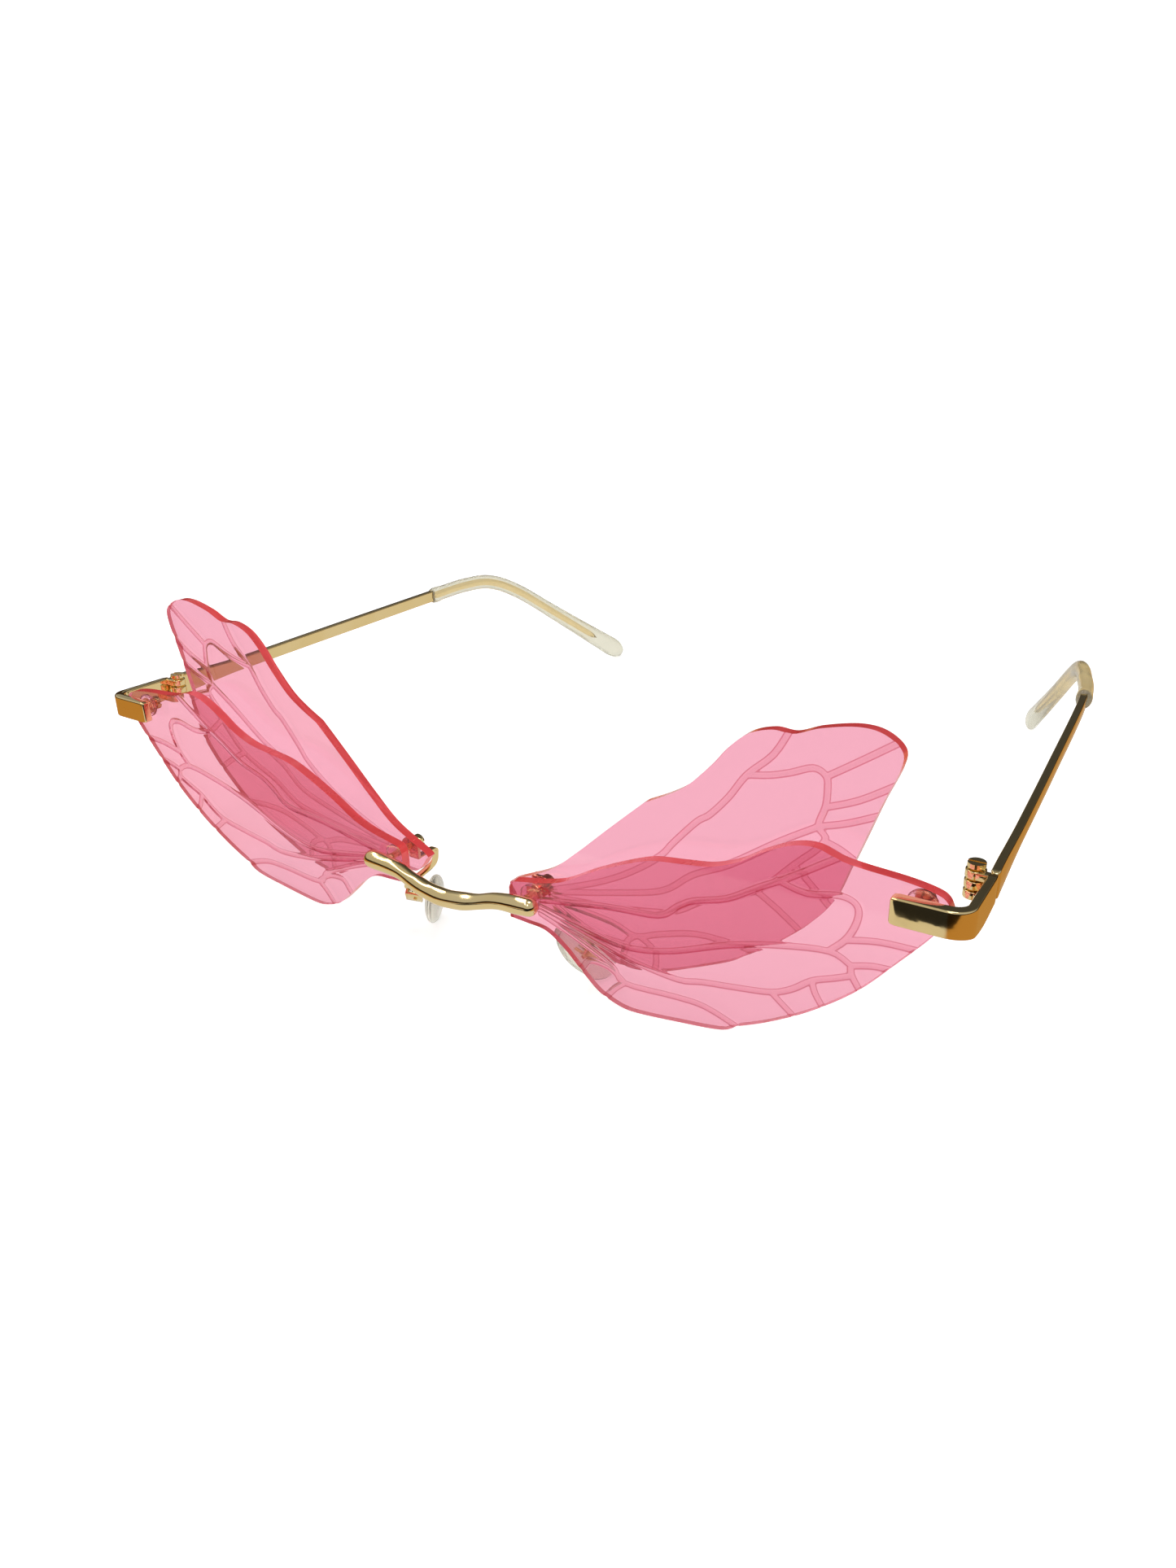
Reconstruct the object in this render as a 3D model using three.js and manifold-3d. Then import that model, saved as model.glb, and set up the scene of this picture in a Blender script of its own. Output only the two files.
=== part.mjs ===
// Rimless fairy-wing sunglasses: two wing lenses a side, a twig bridge, hinged temples and rocking nose pads.
// Millimetres. +X is the wearer's left, +Y runs back towards the ears, +Z is up.
// Each side is built once, for the wearer's left, in the plane of its front lens: x outwards from the nose,
// y back from the middle of the lens, z up from a level a little below the hinge. The other side is its mirror image.
import * as THREE from "three";
import { mergeVertices } from "three/addons/utils/BufferGeometryUtils.js";
import Module from "manifold-3d";

const wasm = await Module();
wasm.setup();

// ---------- driving dimensions ----------
const CONTACT_GAP = 0.3; // between two pieces that touch, and round every shank
const FACE_WRAP = 0.021; // radians that each lens plane turns back from the bridge

const LENS_T = 1.6;
const REAR_GAP = 3.4; // between the middles of the front and rear lens, at the bridge
const REAR_LEAN = 0.044; // radians that the rear lens leans back from the front one
const VEIN_WIDTH = 0.9;
const VEIN_DEPTH = 0.25;

const BRIDGE_X = 12.9; // bridge screw, from the centre line
const BRIDGE_Z = -11.6;
const BAR_R = 1.42; // half thickness of the bridge bar
const SHANK_R = 0.55; // bridge and end-piece screws
const HEAD_R = 1.15;
const HEAD_T = 0.8;

const END_X = 69.2; // end-piece screw
const END_Z = 2.7;
const END_INNER_X = 66.2;
const END_HEIGHT = 3.7;
const END_T = 1.7;
const END_BEND_R = 3; // outside radius of the bend
const RETURN_T = 1.3; // wall of the end piece that runs back to the hinge

const HINGE_X = 72.9;
const HINGE_Y = 10;
const HINGE_Z = 2.2;
const KNUCKLE_R = 1.3;
const KNUCKLE_H = 1.1; // each of the three knuckles
const PIN_R = 0.45; // hinge screw

const TEMPLE_T = 1.2;
const TEMPLE_H = 2.4;
const TEMPLE_ROOT_H = 3.9; // height where the bar meets the end piece
const SLEEVE_Y = 80.4; // where the clear sleeve begins

const PAD_LENGTH = 13.6;
const PAD_WIDTH = 7.4;
const PAD_T = 2.6;

// ---------- outlines, [x, z] ----------
// Each list is one smooth stretch, and a corner lies where two of them meet.
const FRONT_WING = [
  [[10.2, -15.2], [13, -15.4], [16.4, -15.8], [19.5, -17.9], [22.6, -21], [25, -23.2], [27, -24.2]],
  [[27, -24.2], [30.5, -24.9], [38, -24.1], [44.4, -23.1], [46.8, -21.7]],
  [[46.8, -21.7], [51.3, -19.4], [57, -15.7], [62.7, -10.8], [67.4, -5.2], [71, -0.6], [73.1, 3]],
  [[73.1, 3], [72.4, 4.5], [71, 5.3], [67.5, 5.9], [62, 6.3], [59.2, 6.7], [56.2, 7.6], [53, 7.1], [49.3, 5.2],
    [46, 3], [42.2, 1.4], [38, 0.7], [33.5, 0], [29.2, -1.7], [24.2, -4.2], [19.8, -6.8], [16, -8.1], [12, -8.9],
    [10.7, -9.3], [10.2, -10.2]],
];
const REAR_WING = [
  [[8.2, -12], [8.5, -11.2], [14.9, -8], [19.5, -4.1], [24, 0.2], [27.6, 3.6], [30.3, 6.1]],
  [[30.3, 6.1], [33.7, 7.9], [36.6, 9.9], [39.9, 13.4], [42.2, 16.3], [44.8, 18.6], [47.9, 19.7], [50.8, 19.7],
    [54.1, 21], [58.6, 22], [61.8, 21.7], [64.2, 20], [64.2, 17.6], [62.5, 13], [61, 8.4], [59.5, 3.9],
    [57.7, -1.2], [54.9, -5], [52.4, -7.5], [49.2, -10.4]],
  [[49.2, -10.4], [46.6, -12.1], [44.2, -13.8], [39.3, -16.2], [34.3, -18.4], [30.1, -19.4], [26.5, -19.3]],
  [[26.5, -19.3], [24, -17.9], [21.8, -16.7], [18.7, -15.9], [15.9, -14.9], [13, -14.8], [10.2, -14.6], [8.2, -12]],
];

// ---------- wing veins, [x, z]; each is one engraved line ----------
const FRONT_VEINS = [
  [[15.6, -10.9], [26.5, -8.9], [34.6, -8], [37.7, -5.7], [40.1, -4.2], [44.7, -2.6], [49, 0.2], [53.2, 2.8], [59.4, 7.2]],
  [[51.5, 1.9], [55.3, 1.1], [59.3, 1.9], [61.3, 1.6], [62.1, 0.4], [61.8, -1.7], [60.7, -4], [58.7, -6.2]],
  [[15.6, -12], [26.4, -14.2], [31.5, -14.3], [37.2, -12.8], [45, -9.5], [52, -7.4], [58.7, -6.2], [61.7, -7.4]],
  [[60.7, -4], [65, -3], [70.2, -2.8]],
  [[61.7, -7.4], [64.5, -6.6], [67.8, -6.4]],
  [[61.7, -7.4], [61.9, -8.8], [63.6, -11.4]],
  [[61.9, -8.8], [59.6, -9.9], [56.8, -11.2], [54.2, -13.3], [51.4, -14.7], [46.6, -15.6], [41.5, -16.4],
    [37.7, -17.2], [31, -16.5], [26, -15.3], [15.6, -12.6]],
  [[56.8, -11.2], [57.4, -13], [59, -15.4]],
  [[51.4, -14.7], [53, -16], [55.4, -17.9]],
  [[15.6, -13.2], [20.9, -15.2], [27.3, -18.2], [29.4, -20.5], [37.3, -20.1], [42, -20.2], [47.4, -22]],
  [[29.4, -20.5], [27.8, -22], [25.9, -24.5]],
  [[29.2, -20.2], [26.9, -18.7], [23.9, -18.5], [22.6, -20], [21.5, -21.5]],
];
const REAR_VEINS = [
  [[50.4, 20.4], [48.3, 16.5], [44.9, 13.1], [42.6, 9.6], [40, 6.5], [38.2, 5.1], [34.9, 1.3], [32.9, -1.2],
    [28.6, -4.5], [23.4, -7.4], [15.9, -10.5]],
  [[44.9, 13.1], [48, 13.7], [50.7, 14.6], [53.6, 15.8], [55.3, 15], [55.6, 13.1], [55.5, 11], [54.8, 8.3], [55.8, 6.5],
    [52.2, 2.6], [47.4, -2.3], [40.3, -5.6], [36.4, -8.2], [33, -9.4], [25.5, -10.6], [15.8, -11.6]],
  [[55.3, 15], [59.3, 17.8], [64, 21.2]],
  [[55.5, 11], [59.6, 12.8], [63.9, 15.6]],
  [[54.9, 8.3], [58.6, 9.6], [62.9, 11.7]],
  [[54.9, 8.3], [49.8, 5], [43.4, 0.4], [38.2, -2.4], [33.8, -5.9], [26.4, -8.2], [15.8, -10.9]],
  [[55.8, 6.5], [58, 5.8], [60.9, 4.2]],
  [[52.2, 2.6], [54.6, 0.6], [58.1, -2.6]],
  [[47.4, -2.3], [50.6, -4.2], [54.6, -7]],
  [[15.8, -12.1], [25.6, -12.9], [29.7, -14.1], [33.6, -12.7], [38.5, -11.2], [42.5, -10.9], [46, -11.1], [49.9, -11.4]],
  [[30.4, -14], [33, -15.8], [32.9, -20]],
  [[29.7, -14.1], [28.2, -15.9], [28, -20.4]],
  [[28.2, -15.9], [22.7, -15.4], [16.2, -12.4]],
];

// ---------- solids ----------
const merged = (geometry) => {
  const bare = new THREE.BufferGeometry().setAttribute("position", geometry.getAttribute("position"));
  return mergeVertices(geometry.index ? bare.setIndex(geometry.index) : bare, 1e-4);
};

const solid = (geometry) => {
  const { attributes, index } = merged(geometry);
  return new wasm.Manifold(
    new wasm.Mesh({
      numProp: 3,
      vertProperties: new Float32Array(attributes.position.array),
      triVerts: new Uint32Array(index.array),
    }),
  );
};

const union = (...solids) => solids.reduce((all, next) => all.add(next));
const cut = (body, ...tools) => tools.reduce((rest, tool) => rest.subtract(tool), body);

const toGeometry = (body) => {
  const { numProp, numVert, vertProperties, triVerts } = body.getMesh();
  const positions = new Float32Array(numVert * 3);
  for (let i = 0; i < numVert; i++) positions.set(vertProperties.subarray(i * numProp, i * numProp + 3), i * 3);
  const geometry = new THREE.BufferGeometry()
    .setAttribute("position", new THREE.BufferAttribute(positions, 3))
    .setIndex(new THREE.BufferAttribute(triVerts, 1))
    .toNonIndexed();
  geometry.computeVertexNormals();
  return geometry;
};

const box = (x0, x1, y0, y1, z0, z1) =>
  solid(new THREE.BoxGeometry(x1 - x0, y1 - y0, z1 - z0).translate((x0 + x1) / 2, (y0 + y1) / 2, (z0 + z1) / 2));

// A round bar along Y, through (x, z).
const rodY = (radius, x, z, y0, y1, sides = 20) =>
  new THREE.CylinderGeometry(radius, radius, y1 - y0, sides).translate(x, (y0 + y1) / 2, z);

// A round bar along Z, through (x, y).
const rodZ = (radius, x, y, z0, z1, sides = 24) =>
  new THREE.CylinderGeometry(radius, radius, z1 - z0, sides).rotateX(Math.PI / 2).translate(x, y, (z0 + z1) / 2);

// A flat shape drawn in x and z, standing from y0 to y1.
const plateY = (shape, y0, y1, curveSegments) =>
  new THREE.ExtrudeGeometry(shape, { depth: y1 - y0, bevelEnabled: false, curveSegments })
    .rotateX(Math.PI / 2)
    .translate(0, y1, 0);

// A closed skin over rings of points; every ring runs anticlockwise seen from the end it points to.
const loft = (rings) => {
  const sides = rings[0].length;
  const points = rings.flat();
  const last = rings.length - 1;
  const middle = (ring) => ring.reduce((sum, p) => sum.add(p), new THREE.Vector3()).divideScalar(sides);
  const startMiddle = points.push(middle(rings[0])) - 1;
  const endMiddle = points.push(middle(rings[last])) - 1;
  const faces = [];
  for (let j = 0; j < sides; j++) {
    const k = (j + 1) % sides;
    faces.push(startMiddle, k, j, endMiddle, last * sides + j, last * sides + k);
    for (let i = 0; i < last; i++) {
      const a = i * sides;
      const b = a + sides;
      faces.push(a + j, a + k, b + j, a + k, b + k, b + j);
    }
  }
  const positions = new Float32Array(points.flatMap((p) => [p.x, p.y, p.z]));
  return new THREE.BufferGeometry().setAttribute("position", new THREE.BufferAttribute(positions, 3)).setIndex(faces);
};

// A ring round centre, across the direction of travel: half wide sideways, tall up; squareness 1 is an ellipse.
const ring = (centre, travel, half, tall, sides, squareness = 1) => {
  const across = new THREE.Vector3(0, 0, 1).cross(travel).normalize();
  const up = new THREE.Vector3().crossVectors(travel, across).normalize();
  return Array.from({ length: sides }, (_, j) => {
    const angle = ((j + 0.5) / sides) * 2 * Math.PI;
    const c = Math.cos(angle);
    const s = Math.sin(angle);
    return centre
      .clone()
      .addScaledVector(across, half * Math.sign(c) * Math.abs(c) ** squareness)
      .addScaledVector(up, tall * Math.sign(s) * Math.abs(s) ** squareness);
  });
};

// ---------- the four wing lenses ----------
const wingShape = (stretches) => {
  const shape = new THREE.Shape().moveTo(...stretches[0][0]);
  for (const stretch of stretches) shape.splineThru(stretch.slice(1).map(([x, z]) => new THREE.Vector2(x, z)));
  return shape;
};

// One engraved line: a strip of even width along the smooth curve through the points.
const veinShape = (points) => {
  const curve = new THREE.SplineCurve(points.map(([x, z]) => new THREE.Vector2(x, z)));
  const steps = 2 * (points.length - 1);
  const left = [];
  const right = [];
  for (let i = 0; i <= steps; i++) {
    const at = curve.getPoint(i / steps);
    const along = curve.getTangent(i / steps);
    const side = new THREE.Vector2(-along.y, along.x).multiplyScalar(VEIN_WIDTH / 2);
    left.push(at.clone().add(side));
    right.unshift(at.clone().sub(side));
  }
  return new THREE.Shape([...left, ...right]);
};

const wing = (outline, veins, holes) => {
  const front = -LENS_T / 2;
  const grooves = veins.map((points) => solid(plateY(veinShape(points), front - 1, front + VEIN_DEPTH, 1)));
  const drills = holes.map(([x, z]) => solid(rodY(SHANK_R + CONTACT_GAP, x, z, -LENS_T, LENS_T)));
  return cut(solid(plateY(wingShape(outline), front, -front, 3)), union(...grooves), ...drills);
};

const frontWing = () => wing(FRONT_WING, FRONT_VEINS, [[BRIDGE_X, BRIDGE_Z], [END_X, END_Z]]);
const rearWing = () => wing(REAR_WING, REAR_VEINS, [[BRIDGE_X, BRIDGE_Z]]);

// ---------- bridge ----------
const BAR_FRONT = -LENS_T / 2 - CONTACT_GAP; // the plane that the metal in front of the lens rests on
const REAR_FACE = REAR_GAP + LENS_T / 2; // back of the rear lens at the bridge
const ARM_T = 0.7;

const barPath = new THREE.CatmullRomCurve3(
  [[14.8, -11.5, 0], [12, -11.7, 0], [9, -12, -0.15], [6, -12.8, -0.5], [3, -13.3, -0.85], [0, -13.5, -0.95]]
    .flatMap(([x, z, y], i) => (i < 5 ? [[x, z, y], [-x, z, y]] : [[x, z, y]]))
    .sort((a, b) => a[0] - b[0])
    .map(([x, z, y]) => new THREE.Vector3(x, BAR_FRONT - BAR_R + y + Math.abs(x) * FACE_WRAP, z)),
);

const BAR_SIDES = 16;

// The bar swells at its ends, like a twig's knots, and closes there in half rounds.
const bridgeBar = () => {
  const steps = 20;
  const rounding = [[-0.95, 0.31], [-0.78, 0.63], [-0.4, 0.92]];
  const startTravel = barPath.getTangent(0);
  const endTravel = barPath.getTangent(1);
  const knot = (t) => BAR_R * (0.93 + 0.07 * Math.cos(4 * Math.PI * t));
  const start = rounding.map(([back, size]) =>
    ring(barPath.getPoint(0).addScaledVector(startTravel, back * BAR_R), startTravel, size * BAR_R, size * BAR_R, BAR_SIDES));
  const end = rounding
    .map(([back, size]) =>
      ring(barPath.getPoint(1).addScaledVector(endTravel, -back * BAR_R), endTravel, size * BAR_R, size * BAR_R, BAR_SIDES))
    .reverse();
  const body = Array.from({ length: steps + 1 }, (_, i) =>
    ring(barPath.getPoint(i / steps), barPath.getTangent(i / steps), knot(i / steps), knot(i / steps), BAR_SIDES));
  const drills = [1, -1].map((side) =>
    solid(
      rodY(SHANK_R + CONTACT_GAP, side * BRIDGE_X, BRIDGE_Z, BAR_FRONT - BAR_R, BAR_FRONT + 2).rotateZ(side * FACE_WRAP),
    ));
  return cut(solid(loft([...start, ...body, ...end])), ...drills);
};

const SCREW_HEAD_Y = REAR_FACE + CONTACT_GAP + ARM_T + CONTACT_GAP;
const screwY = (x, z, tip, head) => {
  const slot = box(x - HEAD_R, x + HEAD_R, head + HEAD_T - 0.3, head + HEAD_T + 1, z - 0.16, z + 0.16);
  return cut(union(solid(rodY(SHANK_R, x, z, tip, head + 0.1)), solid(rodY(HEAD_R, x, z, head, head + HEAD_T))), slot);
};
const bridgeScrew = () => screwY(BRIDGE_X, BRIDGE_Z, BAR_FRONT - BAR_R + CONTACT_GAP, SCREW_HEAD_Y);

const washerY = (radius, x, z, y0, y1) =>
  cut(solid(rodY(radius, x, z, y0, y1, 28)), solid(rodY(SHANK_R + CONTACT_GAP, x, z, y0 - 1, y1 + 1)));
const lensSpacer = () =>
  washerY(1.7, BRIDGE_X, BRIDGE_Z, LENS_T / 2 + CONTACT_GAP, REAR_GAP - LENS_T / 2 - CONTACT_GAP);

// ---------- nose pads ----------
const PAD_CENTRE = new THREE.Vector3(15.6, 11.7, -25.8);
const padLong = new THREE.Vector3(0.42, 0.5, -0.757).normalize(); // down the pad
const padFace = new THREE.Vector3(-0.9, 0.34, 0).projectOnPlane(padLong).normalize(); // towards the nose
const padAcross = new THREE.Vector3().crossVectors(padLong, padFace);
const padFrame = new THREE.Matrix4().makeBasis(padAcross, padLong, padFace).setPosition(PAD_CENTRE);

const PAD_PIN_R = 0.3;
const BOSS_R = 0.95;
const BOX_FRONT = -PAD_T / 2 - 0.55; // along padFace; the room lets the pad rock
const PAD_PIN_OUT = BOX_FRONT - 1.15;
const BOX_BACK = PAD_PIN_OUT - BOSS_R - CONTACT_GAP - 0.5;
const PAD_PIN_DOWN = -1.7; // the box sits above the pad's middle
const CHEEK_T = 0.55;
const BOSS_T = 0.5;

const inPadFrame = (body) => body.transform(padFrame.elements);

const nosePad = () => {
  const outline = new THREE.Shape().absellipse(0, 0, PAD_WIDTH / 2 - 0.9, PAD_LENGTH / 2 - 0.9, 0, 2 * Math.PI);
  const leaf = new THREE.ExtrudeGeometry(outline, {
    depth: PAD_T - 1.8,
    bevelThickness: 0.9,
    bevelSize: 0.9,
    bevelSegments: 3,
    curveSegments: 14,
  }).translate(0, 0, -PAD_T / 2 + 0.9);
  const boss = new THREE.CylinderGeometry(BOSS_R, BOSS_R, BOSS_T, 20)
    .rotateZ(Math.PI / 2)
    .translate(0, PAD_PIN_DOWN, PAD_PIN_OUT);
  const neck = box(-BOSS_T / 2, BOSS_T / 2, PAD_PIN_DOWN - 0.7, PAD_PIN_DOWN + 0.7, PAD_PIN_OUT, -PAD_T / 2 + 0.2);
  const bore = new THREE.CylinderGeometry(PAD_PIN_R + 0.25, PAD_PIN_R + 0.25, 2, 16)
    .rotateZ(Math.PI / 2)
    .translate(0, PAD_PIN_DOWN, PAD_PIN_OUT);
  return inPadFrame(cut(union(solid(leaf), solid(boss), neck), solid(bore)));
};

const BOX_HALF_WIDTH = BOSS_T / 2 + CONTACT_GAP + CHEEK_T;
const padBox = () => {
  const slotHalf = BOSS_T / 2 + CONTACT_GAP;
  const block = box(-BOX_HALF_WIDTH, BOX_HALF_WIDTH, PAD_PIN_DOWN - 1.5, PAD_PIN_DOWN + 1.5, BOX_BACK, BOX_FRONT);
  const slot = box(-slotHalf, slotHalf, PAD_PIN_DOWN - 3, PAD_PIN_DOWN + 3, BOX_BACK + 0.5, BOX_FRONT + 1);
  const bore = new THREE.CylinderGeometry(PAD_PIN_R + 0.25, PAD_PIN_R + 0.25, 6, 16)
    .rotateZ(Math.PI / 2)
    .translate(0, PAD_PIN_DOWN, PAD_PIN_OUT);
  return inPadFrame(cut(block, slot, solid(bore)));
};

const padPin = () => {
  const length = 2 * BOX_HALF_WIDTH + 0.6;
  const pin = new THREE.CylinderGeometry(PAD_PIN_R, PAD_PIN_R, length, 16)
    .rotateZ(Math.PI / 2)
    .translate(0, PAD_PIN_DOWN, PAD_PIN_OUT);
  const head = new THREE.CylinderGeometry(0.6, 0.6, 0.35, 16)
    .rotateZ(Math.PI / 2)
    .translate(BOX_HALF_WIDTH + 0.375, PAD_PIN_DOWN, PAD_PIN_OUT);
  return inPadFrame(union(solid(pin), solid(head)));
};

// The arm: an eyelet plate behind the rear lens, a ribbon back and down from it, and the box that carries the pad.
const padArm = () => {
  const y0 = REAR_FACE + CONTACT_GAP;
  const plate = box(BRIDGE_X - 1.9, BRIDGE_X + 0.2, y0, y0 + ARM_T, BRIDGE_Z - 1.95, BRIDGE_Z + 1.5);
  const eyelet = solid(rodY(1.5, BRIDGE_X, BRIDGE_Z, y0, y0 + ARM_T));
  const boxTop = new THREE.Vector3(0, PAD_PIN_DOWN - 1.3, BOX_BACK + 0.3).applyMatrix4(padFrame);
  const ribbonX = BRIDGE_X - 1.35;
  const path = [
    [ribbonX, y0 + 0.1, BRIDGE_Z - 1.7],
    [ribbonX, 7.4, BRIDGE_Z - 1.7],
    [ribbonX + 0.1, 8.2, BRIDGE_Z - 1.95],
    [ribbonX + 0.3, 8.7, BRIDGE_Z - 2.7],
    [ribbonX + 1.4, 8.9, BRIDGE_Z - 5.5],
    [boxTop.x - 0.9, boxTop.y - 0.4, boxTop.z + 1.4],
    [boxTop.x, boxTop.y, boxTop.z],
  ].map((p) => new THREE.Vector3(...p));
  const sideways = new THREE.Vector3(1, 0, 0);
  const rings = path.map((p, i) => {
    const travel = new THREE.Vector3().subVectors(path[Math.min(i + 1, 6)], path[Math.max(i - 1, 0)]).normalize();
    const thin = new THREE.Vector3().crossVectors(travel, sideways).normalize();
    const wide = new THREE.Vector3().crossVectors(thin, travel).normalize();
    return [[1, 1], [-1, 1], [-1, -1], [1, -1]].map(([a, b]) =>
      p.clone().addScaledVector(wide, -0.55 * a).addScaledVector(thin, -0.24 * b));
  });
  const bore = solid(rodY(SHANK_R + CONTACT_GAP, BRIDGE_X, BRIDGE_Z, y0 - 1, y0 + 2));
  return cut(union(plate, eyelet, solid(loft(rings)), padBox()), bore);
};

// ---------- end piece and hinge ----------
const wallOuter = HINGE_X + KNUCKLE_R + CONTACT_GAP + RETURN_T;
const wallInner = wallOuter - RETURN_T;
const BUTT_Y = HINGE_Y + 0.15; // the temple starts here and the end piece stops CONTACT_GAP before it
const knuckleLevel = (step) => HINGE_Z + step * (KNUCKLE_H + CONTACT_GAP);

const endPiece = () => {
  const front = BAR_FRONT - END_T;
  const backEdge = BUTT_Y - CONTACT_GAP;
  const plan = new THREE.Shape()
    .moveTo(END_INNER_X, front)
    .lineTo(wallOuter - END_BEND_R, front)
    .absarc(wallOuter - END_BEND_R, front + END_BEND_R, END_BEND_R, -Math.PI / 2, 0)
    .lineTo(wallOuter, backEdge)
    .lineTo(wallInner, backEdge)
    .lineTo(wallInner, BAR_FRONT + END_BEND_R - END_T)
    .quadraticCurveTo(wallInner, BAR_FRONT, wallInner - 0.9, BAR_FRONT)
    .lineTo(END_INNER_X, BAR_FRONT);
  const bent = new THREE.ExtrudeGeometry(plan, { depth: 12, bevelEnabled: false, curveSegments: 6 })
    .translate(0, 0, END_Z - 6);
  // Seen from the side the bar is deepest half way back, and its lower edge rises to the hinge.
  const top = END_Z + END_HEIGHT / 2;
  const bottom = END_Z - END_HEIGHT / 2;
  const side = new THREE.Shape()
    .moveTo(front - 1, bottom)
    .lineTo(BAR_FRONT, bottom)
    .quadraticCurveTo(3, bottom - 1.1, 6.5, bottom - 0.7)
    .lineTo(backEdge + 1, HINGE_Z - TEMPLE_ROOT_H / 2)
    .lineTo(backEdge + 1, HINGE_Z + TEMPLE_ROOT_H / 2)
    .lineTo(BAR_FRONT, top)
    .lineTo(front - 1, top);
  const profile = new THREE.ExtrudeGeometry(side, { depth: 20, bevelEnabled: false, curveSegments: 6 })
    .applyMatrix4(new THREE.Matrix4().set(0, 0, 1, END_INNER_X - 2, 1, 0, 0, 0, 0, 1, 0, 0, 0, 0, 0, 1));
  const knuckles = [-1, 1].map((step) => {
    const low = knuckleLevel(step) - KNUCKLE_H / 2;
    const high = low + KNUCKLE_H;
    return union(
      solid(rodZ(KNUCKLE_R, HINGE_X, HINGE_Y, low, high)),
      box(HINGE_X, wallInner + 0.3, HINGE_Y - KNUCKLE_R, backEdge, low, high),
    );
  });
  const shank = solid(rodZ(PIN_R + CONTACT_GAP, HINGE_X, HINGE_Y, HINGE_Z - 5, HINGE_Z + 5));
  const thread = solid(rodY(SHANK_R + CONTACT_GAP, END_X, END_Z, BAR_FRONT - END_T + 0.5, BAR_FRONT + 1));
  return cut(union(solid(bent).intersect(solid(profile)), ...knuckles), shank, thread);
};

const WASHER_T = 1.1;
const WASHER_Y = LENS_T / 2 + CONTACT_GAP;
const endWasher = () => washerY(2, END_X, END_Z, WASHER_Y, WASHER_Y + WASHER_T);
const endScrew = () => screwY(END_X, END_Z, BAR_FRONT - END_T + 0.8, WASHER_Y + WASHER_T + CONTACT_GAP);

const hingeScrew = () => {
  const headLow = knuckleLevel(1) + KNUCKLE_H / 2 + CONTACT_GAP;
  const shank = solid(rodZ(PIN_R, HINGE_X, HINGE_Y, knuckleLevel(-1) - KNUCKLE_H / 2, headLow + 0.1));
  const head = solid(rodZ(HEAD_R, HINGE_X, HINGE_Y, headLow, headLow + 0.6));
  const slot = box(HINGE_X - 2, HINGE_X + 2, HINGE_Y - 0.16, HINGE_Y + 0.16, headLow + 0.35, headLow + 2);
  return cut(union(shank, head), slot);
};

// ---------- temple ----------
const templeX = (wallOuter + wallInner) / 2;
const templePath = new THREE.CatmullRomCurve3(
  [
    [templeX, BUTT_Y, HINGE_Z], [templeX - 0.4, 20, HINGE_Z], [templeX - 1.3, 48, HINGE_Z + 0.4],
    [templeX - 2.6, SLEEVE_Y, HINGE_Z + 0.9], [templeX - 4.4, 91, HINGE_Z + 1.4], [templeX - 6.3, 98, HINGE_Z + 0.7],
    [templeX - 8.6, 105.5, HINGE_Z - 3], [templeX - 12.3, 115, HINGE_Z - 10.1],
    [templeX - 16, 124, HINGE_Z - 17], [templeX - 20.4, 134.5, HINGE_Z - 25],
  ].map((p) => new THREE.Vector3(...p)),
);
const PATH_STEPS = 400;
const sleeveStart = Array.from({ length: PATH_STEPS }, (_, i) => i / PATH_STEPS)
  .find((t) => templePath.getPointAt(t).y >= SLEEVE_Y);

// Rings along the temple's path. Each stop is [share of the stretch from one t to another, half width, half height].
const along = (from, to, stops, sides, squareness) =>
  loft(
    stops.map(([share, half, tall]) => {
      const t = from + share * (to - from);
      return ring(templePath.getPointAt(t), templePath.getTangentAt(t), half, tall, sides, squareness);
    }),
  );

const CORE = { half: 0.45, tall: 0.6 };
const CORE_END = 0.92; // share of the whole path
const evenly = (count, half, tall) => Array.from({ length: count + 1 }, (_, i) => [i / count, half, tall]);

const temple = () => {
  const t2 = TEMPLE_T / 2;
  const bar = along(0, sleeveStart - 0.003, [
    [0, t2, TEMPLE_ROOT_H / 2], [0.05, t2, TEMPLE_ROOT_H / 2 - 0.1], [0.12, t2, TEMPLE_H / 2 + 0.3],
    [0.2, t2, TEMPLE_H / 2], [0.5, t2, TEMPLE_H / 2], [1, t2, TEMPLE_H / 2],
  ], 16, 0.45);
  const core = along(sleeveStart - 0.02, CORE_END, evenly(14, CORE.half, CORE.tall), 8, 1);
  const low = knuckleLevel(0) - KNUCKLE_H / 2;
  const high = low + KNUCKLE_H;
  const knuckle = solid(rodZ(KNUCKLE_R, HINGE_X, HINGE_Y, low, high));
  const tongue = box(HINGE_X, templeX, BUTT_Y, HINGE_Y + KNUCKLE_R, low, high);
  const shank = solid(rodZ(PIN_R + CONTACT_GAP, HINGE_X, HINGE_Y, low - 1, high + 1));
  return cut(union(solid(bar), solid(core), knuckle, tongue), shank);
};

// The clear sleeve: a tube with a slightly wider mouth, flared and rounded at its end, over the core wire.
const templeSleeve = () => {
  const skin = along(sleeveStart, 0.996, [
    [0, 1.35, 1.75], [0.03, 1.35, 1.75], [0.06, 1.25, 1.6], ...evenly(11, 1.25, 1.6).slice(1, 10)
      .map(([share, half, tall]) => [0.1 + share * 0.75, half, tall + 0.7 * Math.max(0, share - 0.55)]),
    [0.86, 1.3, 2.1], [0.91, 1.3, 2.3], [0.95, 1.25, 2.25], [0.975, 1.1, 1.9], [0.99, 0.8, 1.3], [1, 0.35, 0.6],
  ], 14, 0.8);
  const channel = along(sleeveStart - 0.01, CORE_END + 0.004,
    evenly(14, CORE.half + CONTACT_GAP, CORE.tall + CONTACT_GAP), 8, 1);
  return cut(solid(skin), solid(channel));
};

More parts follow.
